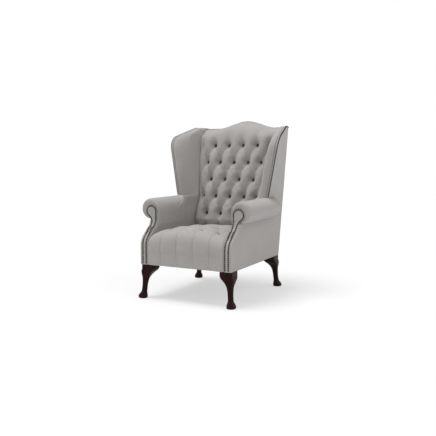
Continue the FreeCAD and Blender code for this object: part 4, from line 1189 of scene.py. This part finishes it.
# Camera
camera = add_object("camera", bpy.data.cameras.new("camera"))
camera.data.lens = 50
camera.data.sensor_width = 36
camera.location = (1.78633, -3.42646, 0.86420)
aim = Vector((0.03554, -0.0713, 0.4724)) - camera.location
camera.rotation_mode = "QUATERNION"
camera.rotation_quaternion = aim.to_track_quat("-Z", "Y")
bpy.context.scene.camera = camera

# White floor, which glows a little where it is seen directly
FLOOR_REACH = 60
FLOOR_GREY = 0.86
FLOOR_GLOW = 0.55
WHITE = (1, 1, 1, 1)
floor_mesh = bpy.data.meshes.new("floor")
floor_mesh.from_pydata([(-FLOOR_REACH, -FLOOR_REACH, 0), (FLOOR_REACH, -FLOOR_REACH, 0),
                        (FLOOR_REACH, FLOOR_REACH, 0), (-FLOOR_REACH, FLOOR_REACH, 0)],
                       [], [(0, 1, 2, 3)])
floor = add_object("floor", floor_mesh)
floor_material, floor_tree, floor_shader = new_material("studio_floor")
set_sockets(floor_tree, floor_shader, {
    "Base Color": (FLOOR_GREY, FLOOR_GREY, FLOOR_GREY, 1), "Roughness": 0.9,
    "Specular IOR Level": 0.0,
})
glow = add_node(floor_tree, "ShaderNodeEmission", {"Color": WHITE, "Strength": 1.0})
floor_mix = floor_tree.nodes.new("ShaderNodeMixShader")
glow_share = combine(floor_tree, "MULTIPLY", seen_directly(floor_tree), FLOOR_GLOW)
floor_out = next(n for n in floor_tree.nodes if n.type == "OUTPUT_MATERIAL")
floor_tree.links.new(glow_share, floor_mix.inputs[0])
floor_tree.links.new(floor_shader.outputs[0], floor_mix.inputs[1])
floor_tree.links.new(glow.outputs[0], floor_mix.inputs[2])
floor_tree.links.new(floor_mix.outputs[0], floor_out.inputs["Surface"])
floor_mesh.materials.append(floor_material)

# White room, which lights less than it shows
ROOM_LIGHT = 0.36
world = bpy.data.worlds.new("studio")
bpy.context.scene.world = world
world.use_nodes = True
tree = world.node_tree
tree.nodes.clear()
out = tree.nodes.new("ShaderNodeOutputWorld")
strength = offset(tree, seen_directly(tree), 1.0 - ROOM_LIGHT, ROOM_LIGHT)
sky = add_node(tree, "ShaderNodeBackground", {"Color": WHITE, "Strength": strength})
tree.links.new(sky.outputs["Background"], out.inputs["Surface"])

# Lamps: name, strength, spread in degrees and the way that the light falls
lamps = [
    ("overhead", 2.25, 32, (0.25, 0.08, -1)), ("side_fill", 0.6, 60, (-0.8, 0.05, -0.6)),
    ("front_left", 0.15, 8, (0.55, 0.55, -0.75)), ("front_right", 0.10, 8, (-0.50, 0.80, -0.60)),
]
for name, energy, spread, way in lamps:
    lamp = add_object(name, bpy.data.lights.new(name, "SUN"))
    lamp.data.energy = energy
    lamp.data.angle = math.radians(spread)
    lamp.rotation_euler = Vector(way).to_track_quat("-Z", "Y").to_euler()

bpy.context.scene.view_settings.view_transform = "Standard"

bpy.context.view_layer.update()
